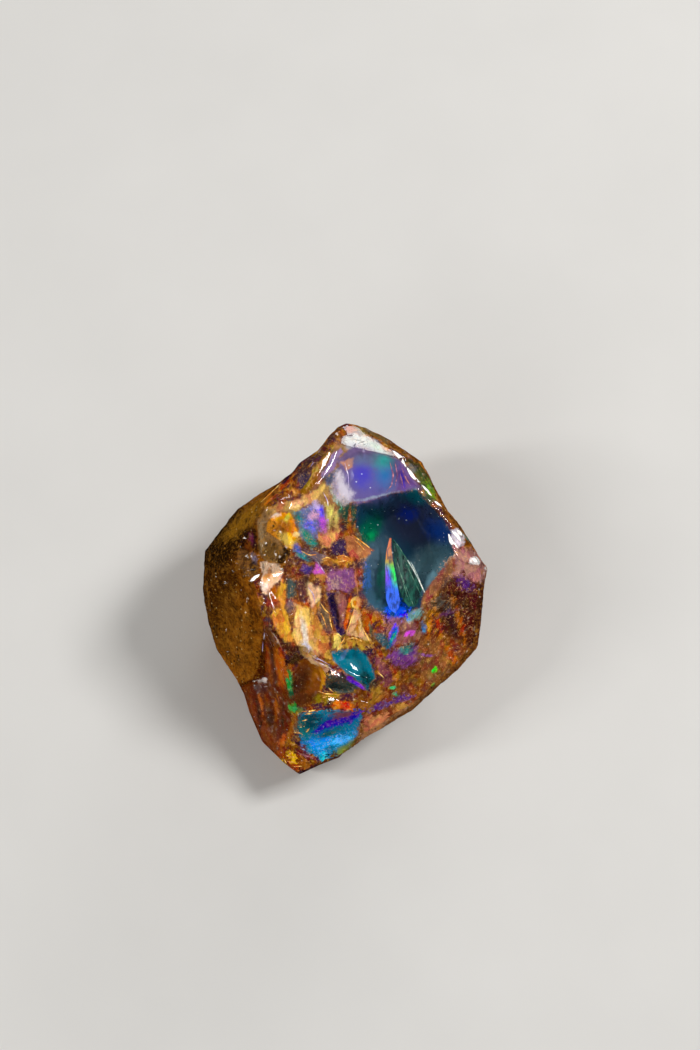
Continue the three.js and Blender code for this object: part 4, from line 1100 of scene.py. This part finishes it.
def hairline(skin, line, width):
    """The right and the left edge of a hairline just over the bed, thin at both ends."""
    ends = np.array(line)
    length = np.concatenate(([0], np.cumsum(np.hypot(*np.diff(ends, axis=0).T))))
    steps = np.linspace(0, length[-1], max(4, int(length[-1] / LINE_STEP)))
    route = np.stack([np.interp(steps, length, ends[:, axis]) for axis in range(2)], 1)
    middle = np.array(skin.on_bed(route, LINE_LIFT))
    along = np.gradient(route, axis=0)
    across = np.stack((-along[:, 1], along[:, 0], np.zeros(len(route))), 1)
    across /= np.linalg.norm(across, axis=1)[:, None]
    half = width / 2 * np.sin(np.linspace(LINE_TIP, math.pi - LINE_TIP, len(route)))[:, None]
    return middle - across * half, middle + across * half


def make_hairlines(skin, name, lines, width):
    """Hairlines of one look, as one piece."""
    points, faces = [], []
    for line in lines:
        right, left = hairline(skin, line, width)
        faces += ribbon(len(right), len(points))
        points += [*right, *left]
    sliver(name, points, faces, crack_material(name))


def make_cracks():
    """The cracks that shine in the window."""
    left, right = RAINBOW_CRACK
    sliver("rainbow_crack", left + right, ribbon(len(left)), rainbow_material())
    left, right = DARK_CRACK
    sliver("dark_crack", left + right, ribbon(len(left)), crack_material("dark_crack"))
    looks = {look: crack_material(look) for look in ("crack_glint", "faint_crack")}
    for name, left, width, look in THIN_CRACKS:
        right = [(x + width, y + width / 3, z) for x, y, z in left]
        sliver(name, left + right, ribbon(len(left)), looks[look])


# ---------------------------------------------------------------- materials

class Graph:
    """A material's nodes. Inputs are sockets or plain values, and sizes are in millimetres."""

    def __init__(self, name):
        self.material = bpy.data.materials.new(name)
        self.material.use_nodes = True
        self.tree = self.material.node_tree
        self.tree.nodes.clear()
        self.output = self.add("ShaderNodeOutputMaterial")

    def add(self, kind, inputs=None, **settings):
        """A node with these inputs and settings."""
        node = self.tree.nodes.new(kind)
        for key, value in settings.items():
            setattr(node, key, value)
        for key, value in (inputs or {}).items():
            self.put(node.inputs[key], value)
        return node

    def put(self, socket, value):
        if isinstance(value, bpy.types.NodeSocket):
            self.tree.links.new(value, socket)
        else:
            socket.default_value = value

    def stone_place(self):
        """The place in the stone's own frame, in millimetres."""
        rest = Matrix.Rotation(-LEAN, 3, "X") @ Vector((0, 0, REST_DEPTH / MM))
        return self.add("ShaderNodeMapping", {
            "Vector": self.add("ShaderNodeTexCoord").outputs["Object"],
            "Location": tuple(-rest),
            "Rotation": (-LEAN, 0, 0),
            "Scale": (1 / MM, 1 / MM, 1 / MM),
        }).outputs["Vector"]

    def value(self, name):
        """A value that the mesh carries."""
        return self.add("ShaderNodeAttribute", attribute_name=name).outputs["Fac"]

    def math(self, operation, *values):
        node = self.add("ShaderNodeMath", dict(enumerate(values)), operation=operation)
        return node.outputs[0]

    def product(self, a, b):
        return self.math("MULTIPLY", a, b)

    def vector(self, operation, *vectors, **inputs):
        inputs = {**dict(enumerate(vectors)), **inputs}
        return self.add("ShaderNodeVectorMath", inputs, operation=operation).outputs[0]

    def sum(self, *terms):
        """The sum of values, each times a number."""
        total = 0.0
        for value, share in terms:
            total = self.math("MULTIPLY_ADD", value, share, total)
        return total

    def step(self, value, low, high, top=1.0):
        """0 at low and top at high, smooth between."""
        limits = {"Value": value, "From Min": low, "From Max": high, "To Max": top}
        node = self.add("ShaderNodeMapRange", limits, interpolation_type="SMOOTHSTEP")
        return node.outputs["Result"]

    def blend(self, share, a, b):
        """Between two values."""
        return self.add("ShaderNodeMix", {0: share, 2: a, 3: b}).outputs[0]

    def mix(self, share, *colours):
        """Between two colours."""
        a, b = (linear(*colour) if isinstance(colour, tuple) else colour for colour in colours)
        return self.add("ShaderNodeMix", {0: share, 6: a, 7: b}, data_type="RGBA").outputs[2]

    def ramp(self, value, stops):
        """A colour for each value, from (value, colour) stops."""
        node = self.add("ShaderNodeValToRGB", {"Fac": value})
        while len(node.color_ramp.elements) < len(stops):
            node.color_ramp.elements.new(0.5)
        for element, (at, colour) in zip(node.color_ramp.elements, stops):
            element.position = at
            element.color = linear(*colour)
        return node.outputs["Color"]

    def parts(self, colour, mode="RGB"):
        return self.add("ShaderNodeSeparateColor", {"Color": colour}, mode=mode).outputs

    def axes(self, vector):
        return self.add("ShaderNodeSeparateXYZ", {"Vector": vector}).outputs

    def texture(self, kind, place, size, stretch=(1, 1, 1), **inputs):
        """A noise or cell texture with features of this size."""
        scaled = self.vector("MULTIPLY", place, tuple(s / size for s in stretch))
        inputs = {"Vector": scaled, "Scale": 1.0, **inputs}
        return self.add(kind, inputs).outputs

    def noise(self, place, size, detail=3.0, rough=0.55, stretch=(1, 1, 1)):
        """Noise, of 0 to 1."""
        return self.texture("ShaderNodeTexNoise", place, size, stretch,
                            Detail=detail, Roughness=rough)

    def cells(self, place, size, stretch=(1, 1, 1)):
        """Angular cells."""
        return self.texture("ShaderNodeTexVoronoi", place, size, stretch)

    def centred(self, colour):
        """A random colour as a vector round nothing."""
        return self.vector("SUBTRACT", colour, (0.5, 0.5, 0.5))

    def warp(self, place, size, amount):
        """The place, moved about by noise."""
        wild = self.centred(self.noise(place, size, 4.0)["Color"])
        return self.vector("MULTIPLY_ADD", wild, (amount, amount, amount), place)

    def specks(self, place, spacing, radius, share):
        """A mask of scattered dots: their spacing, then their radius as a share of it."""
        dots = self.cells(place, spacing)
        chance = self.parts(dots["Color"])[0]
        return self.product(self.step(dots["Distance"], radius, radius / 2),
                            self.step(chance, 1 - share, 1.02 - share))

    def streaks(self, place, size, length):
        """Noise of 0 to 1 that is drawn out along the fibres."""
        double = self.math("ARCTAN2", self.value("turn_sin"), self.value("turn_cos"))
        angle = self.product(double, 0.5)
        along = self.add("ShaderNodeCombineXYZ", {
            "X": self.math("COSINE", angle),
            "Y": self.math("SINE", angle),
        }).outputs[0]
        terms = []
        for number in range(STREAK_SAMPLES):
            offset = length * (number / (STREAK_SAMPLES - 1) - 0.5)
            at = self.vector("MULTIPLY_ADD", along, (offset, offset, offset), place)
            terms.append((self.noise(at, size, 2.0)["Fac"], STREAK_CONTRAST / STREAK_SAMPLES))
        return self.sum(*terms, (1.0, 0.5 - 0.5 * STREAK_CONTRAST))

    def glittering(self, place, size, amount):
        """The surface's normal, tilted at random in each small cell."""
        tilt = self.centred(self.cells(place, size)["Color"])
        normal = self.add("ShaderNodeNewGeometry").outputs["Normal"]
        tilted = self.vector("ADD", normal, self.vector("SCALE", tilt, Scale=amount))
        return self.vector("NORMALIZE", tilted)

    def bump(self, height, distance, strength=1.0):
        return self.add("ShaderNodeBump", {
            "Height": height,
            "Distance": distance * MM,
            "Strength": strength,
        }).outputs["Normal"]

    def surface(self, **inputs):
        """Ends the material with a shader. Its inputs' names have _ for spaces."""
        inputs = {name.replace("_", " "): value for name, value in inputs.items()}
        shader = self.add("ShaderNodeBsdfPrincipled", inputs)
        self.put(self.output.inputs["Surface"], shader.outputs[0])
        return self.material


class StoneGraph(Graph):
    """The stone's look: what the rock and the bed share, then the look of each."""

    def __init__(self):
        super().__init__("stone")
        self.place = self.stone_place()
        self.calm = self.value("calm")
        self.rough = self.math("SUBTRACT", 1.0, self.calm)
        self.fibre = self.value("fibres")
        flakes = self.cells(self.warp(self.place, 1.2, 0.5), 0.6, (1, 0.6, 1))
        self.flake = self.parts(flakes["Color"])[0]
        self.fringe = self.noise(self.place, 0.4, 4.0, 0.65)["Fac"]
        self.streak = self.streaks(self.place, 0.13, 0.9)
        # How far the edges wander, about 0: by flake, by fibre, and by a fine fringe.
        self.wander = self.sum((self.flake, 0.1), (self.fibre, 0.5), (self.streak, 1.0),
                               (self.fringe, 1.4), (1.0, -1.5))
        self.veins = self.noise(self.warp(self.place, 1.8, 1.6), 1.1, 5.0, 0.6)["Fac"]
        # 1 where the bed is, 0 on the rock.
        edge = self.sum((self.value("edge"), 1.0), (self.wander, 0.4))
        self.is_bed = self.step(edge, -0.1, 0.1)

    def ground(self):
        """The bed's veins, and the rock's iron stains."""
        stains = self.noise(self.warp(self.place, 2.0, 1.6), 1.6, 5.0, 0.65)["Fac"]
        return self.mix(self.is_bed, self.ramp(stains, ROCK_GROUND),
                        self.ramp(self.veins, BED_GROUND))

    def painted(self, colour, layers):
        """Lays the mesh's layers of zones over a colour."""
        for number in range(layers):
            tone = self.add("ShaderNodeAttribute", attribute_name=f"tone_{number}").outputs
            edge = self.add("ShaderNodeAttribute", attribute_name=f"edge_{number}").outputs
            depth, ragged, _ = self.axes(edge["Vector"])
            depth = self.math("MULTIPLY_ADD", self.wander, ragged, depth)
            mask = self.product(self.step(depth, -1, 1), tone["Alpha"])
            colour = self.mix(mask, colour, tone["Color"])
        return colour

    def bed(self, colour):
        """Fibres, flakes, painted shade in crevices, gold filigree, bubbles and painted glints of
        sparks in the opal's bed.
        """
        lift = self.sum((self.fibre, 0.5), (self.streak, 1.3), (self.flake, 0.2),
                        (self.fringe, 0.7), (self.veins, 0.8), (1.0, -0.8))
        turn = self.product(self.rough, self.math("SUBTRACT", self.flake, 0.5))
        bed = self.add("ShaderNodeHueSaturation", {
            "Color": colour,
            "Hue": self.sum((turn, 0.06), (1.0, 0.5)),
            "Saturation": 1.08,
            "Value": self.blend(self.product(self.rough, self.is_bed), 1.0, lift),
        }).outputs["Color"]
        # painted shade along the darkest streaks
        crevice_shade = self.step(self.streak, 0.3, 0.12, 0.6)
        bed = self.mix(self.product(self.rough, crevice_shade), bed, CREVICE_SHADE)
        lines = self.noise(self.warp(self.place, 0.8, 0.6), 0.45, 2.0)["Fac"]
        lines = self.math("ABSOLUTE", self.math("SUBTRACT", lines, 0.5))
        lines = self.product(self.step(lines, 0.028, 0.008), self.step(self.fringe, 0.46, 0.58))
        bed = self.mix(self.product(lines, self.product(self.rough, 0.6)), bed, FILIGREE)
        bubbles = self.product(self.specks(self.place, 0.8, 0.14, 0.4), self.calm)
        bed = self.mix(self.product(bubbles, 0.75), bed, BUBBLE)
        # painted glints: bright specks on the rough bed
        spark_glints = self.product(self.specks(self.place, 0.7, 0.14, 0.25), self.rough)
        return self.mix(self.product(spark_glints, 0.6), bed, SPARK_GLINT)

    def rock(self, colour, grains, pits):
        """Blotches, grain, glassy specks, and pits darkened by painted shade, in the sandstone."""
        blotches = self.noise(self.place, 1.0, 4.0, 0.7, (1.5, 0.7, 1))["Fac"]
        rock = self.mix(self.step(blotches, 0.5, 0.36, 0.6), colour, BLOTCH_DARK)
        rock = self.mix(self.step(blotches, 0.54, 0.66, 0.55), rock, BLOTCH_PALE)
        rock = self.mix(self.step(grains, 0.53, 0.62, 0.6), rock, GRAIN_PALE)
        rock = self.mix(self.step(grains, 0.47, 0.34, 0.8), rock, GRAIN_DARK)
        rock = self.mix(self.specks(self.place, 0.6, 0.2, 0.35), rock, GLASSY_SPECK)
        # painted shade in the pits
        return self.mix(self.step(pits, 0.2, 0.08, 0.85), rock, PIT_SHADE)

    def play_of_colour(self, bed):
        """The light of the blue, green and violet parts, which shine on their own."""
        hue, saturation, _ = self.parts(bed, "HSV")
        fire = self.add("ShaderNodeRGBToBW", {"Color": self.ramp(hue, FIRE_HUES)}).outputs[0]
        glow = self.product(fire, saturation)
        return self.mix(self.product(glow, self.is_bed), BLACK, bed)

    def relief(self, grains, pits):
        """The fine relief: grains and pits on the rock, fibres and flakes on the bed."""
        rock = self.sum((grains, 1.8), (self.step(pits, 0.04, 0.22), 0.8))
        bed = self.sum((self.fringe, 0.8), (self.streak, 0.8), (self.flake, 0.5),
                       (self.fibre, 0.6))
        return self.bump(self.blend(self.is_bed, rock, self.product(bed, self.rough)), 0.2)


def stone_material(layers):
    """Rough rock and bright bed in one look, with the layers of zones laid over both."""
    g = StoneGraph()
    colour = g.painted(g.ground(), layers)
    bed = g.bed(colour)
    grains = g.noise(g.place, 0.3, 5.0, 0.8)["Fac"]
    pits = g.cells(g.warp(g.place, 1.0, 0.5), 0.9)["Distance"]
    return g.surface(
        Base_Color=g.mix(g.is_bed, g.rock(colour, grains, pits), bed),
        Roughness=0.5,
        Specular_IOR_Level=0.02,
        Coat_Weight=0.5,
        Coat_Roughness=0.08,
        Coat_Normal=g.glittering(g.place, 0.28, g.sum((g.rough, 0.65), (1.0, 0.25))),
        Emission_Color=g.play_of_colour(bed),
        Emission_Strength=BED_SHINE,
        Normal=g.relief(grains, pits),
    )


def opal_material():
    """Clear and faintly green, with a soft swell on its surface."""
    g = Graph("opal_body")
    swell = g.noise(g.stone_place(), 1.4)["Fac"]
    absorb = g.add("ShaderNodeVolumeAbsorption", {
        "Color": linear(*CLEAR_OPAL),
        "Density": OPAL_DENSITY,
    })
    g.put(g.output.inputs["Volume"], absorb.outputs[0])
    return g.surface(
        Base_Color=linear(*WHITE),
        Transmission_Weight=1.0,
        Roughness=0.03,
        IOR=OPAL_IOR,
        Normal=g.bump(swell, 0.12, 0.5),
    )


def rainbow_material():
    """Ochre at the tip, green along the right and violet along the left, blue at the foot; it glows
    a little, as painted light.
    """
    g = Graph("rainbow_crack")
    place = g.warp(g.stone_place(), 0.8, 0.25)
    x, y, _ = g.axes(place)
    down = g.step(y, *RAINBOW_DOWN)
    across = g.step(g.sum((x, 1.0), (y, RAINBOW_LEAN)), *RAINBOW_ACROSS)
    side = g.ramp(across, RAINBOW_SIDES)
    foot = g.mix(g.step(down, 0.52, 0.8), side, RAINBOW_FOOT)
    colour = g.mix(g.step(down, 0.2, 0.42), g.ramp(down, RAINBOW_TIP), foot)
    streaks = g.noise(place, 0.26, 4.0, stretch=(1, 0.25, 1))["Fac"]
    shaded = g.mix(g.step(streaks, 0.56, 0.36, 0.75), colour, RAINBOW_STREAK)
    return g.surface(
        Base_Color=shaded, Roughness=0.3, Emission_Color=shaded, Emission_Strength=0.4)


def crack_material(name):
    """Streaks of a dark and a pale colour along a crack, which glow by the look's shine, as painted
    light.
    """
    dark, pale, shine = CRACK_LOOKS[name]
    g = Graph(name)
    streaks = g.noise(g.stone_place(), 0.3, 4.0, stretch=(1, 0.25, 1))["Fac"]
    colour = g.mix(g.step(streaks, 0.4, 0.68), dark, pale)
    return g.surface(
        Base_Color=colour, Roughness=0.25, Emission_Color=colour, Emission_Strength=shine)


def floor_material():
    g = Graph("pale_floor")
    place = g.add("ShaderNodeTexCoord").outputs["Object"]
    cloud = g.add("ShaderNodeTexNoise", {"Vector": place, "Scale": 60.0, "Detail": 4.0})
    return g.surface(Base_Color=g.mix(cloud.outputs["Fac"], *FLOOR_TONES), Roughness=0.7)


# ---------------------------------------------------------------- stage

def make_floor():
    bpy.ops.mesh.primitive_plane_add(size=FLOOR_SIZE)
    floor = bpy.context.object
    floor.name = "floor"
    floor.data.materials.append(floor_material())
    floor.visible_glossy = False  # the stone's glare then shows the lights alone


def make_light(name, at, size, power):
    light = bpy.data.lights.new(name, "AREA")
    light.shape = "RECTANGLE"
    light.size, light.size_y = size
    light.energy = power
    lamp = bpy.data.objects.new(name, light)
    lamp.location = at
    lamp.rotation_mode = "QUATERNION"
    lamp.rotation_quaternion = (LIT_POINT - Vector(at)).to_track_quat("-Z", "Y")
    lamp.visible_glossy = name != UNMIRRORED_LIGHT
    bpy.context.scene.collection.objects.link(lamp)


def make_surround():
    """Soft light from all round, which the stone does not mirror."""
    world = bpy.data.worlds.new("studio")
    world.use_nodes = True
    background = world.node_tree.nodes["Background"]
    background.inputs["Color"].default_value = WORLD_COLOUR
    background.inputs["Strength"].default_value = WORLD_STRENGTH
    bpy.context.scene.world = world
    world.cycles_visibility.glossy = False
    bpy.context.scene.view_settings.view_transform = "Standard"


def make_camera():
    camera = bpy.data.objects.new("camera", bpy.data.cameras.new("camera"))
    camera.data.lens = LENS
    camera.data.clip_start = CLIP_START
    camera.location = STONE_TO_ROW @ CAMERA_AT
    camera.rotation_euler = (LEAN, 0, 0)
    bpy.context.scene.collection.objects.link(camera)
    bpy.context.scene.camera = camera


skin = Skin()
make_stone(skin)
make_opal(skin)
for name, lines, width in HAIRLINES:
    make_hairlines(skin, name, lines, width)
make_cracks()
make_floor()
for light in LIGHTS:
    make_light(*light)
make_surround()
make_camera()
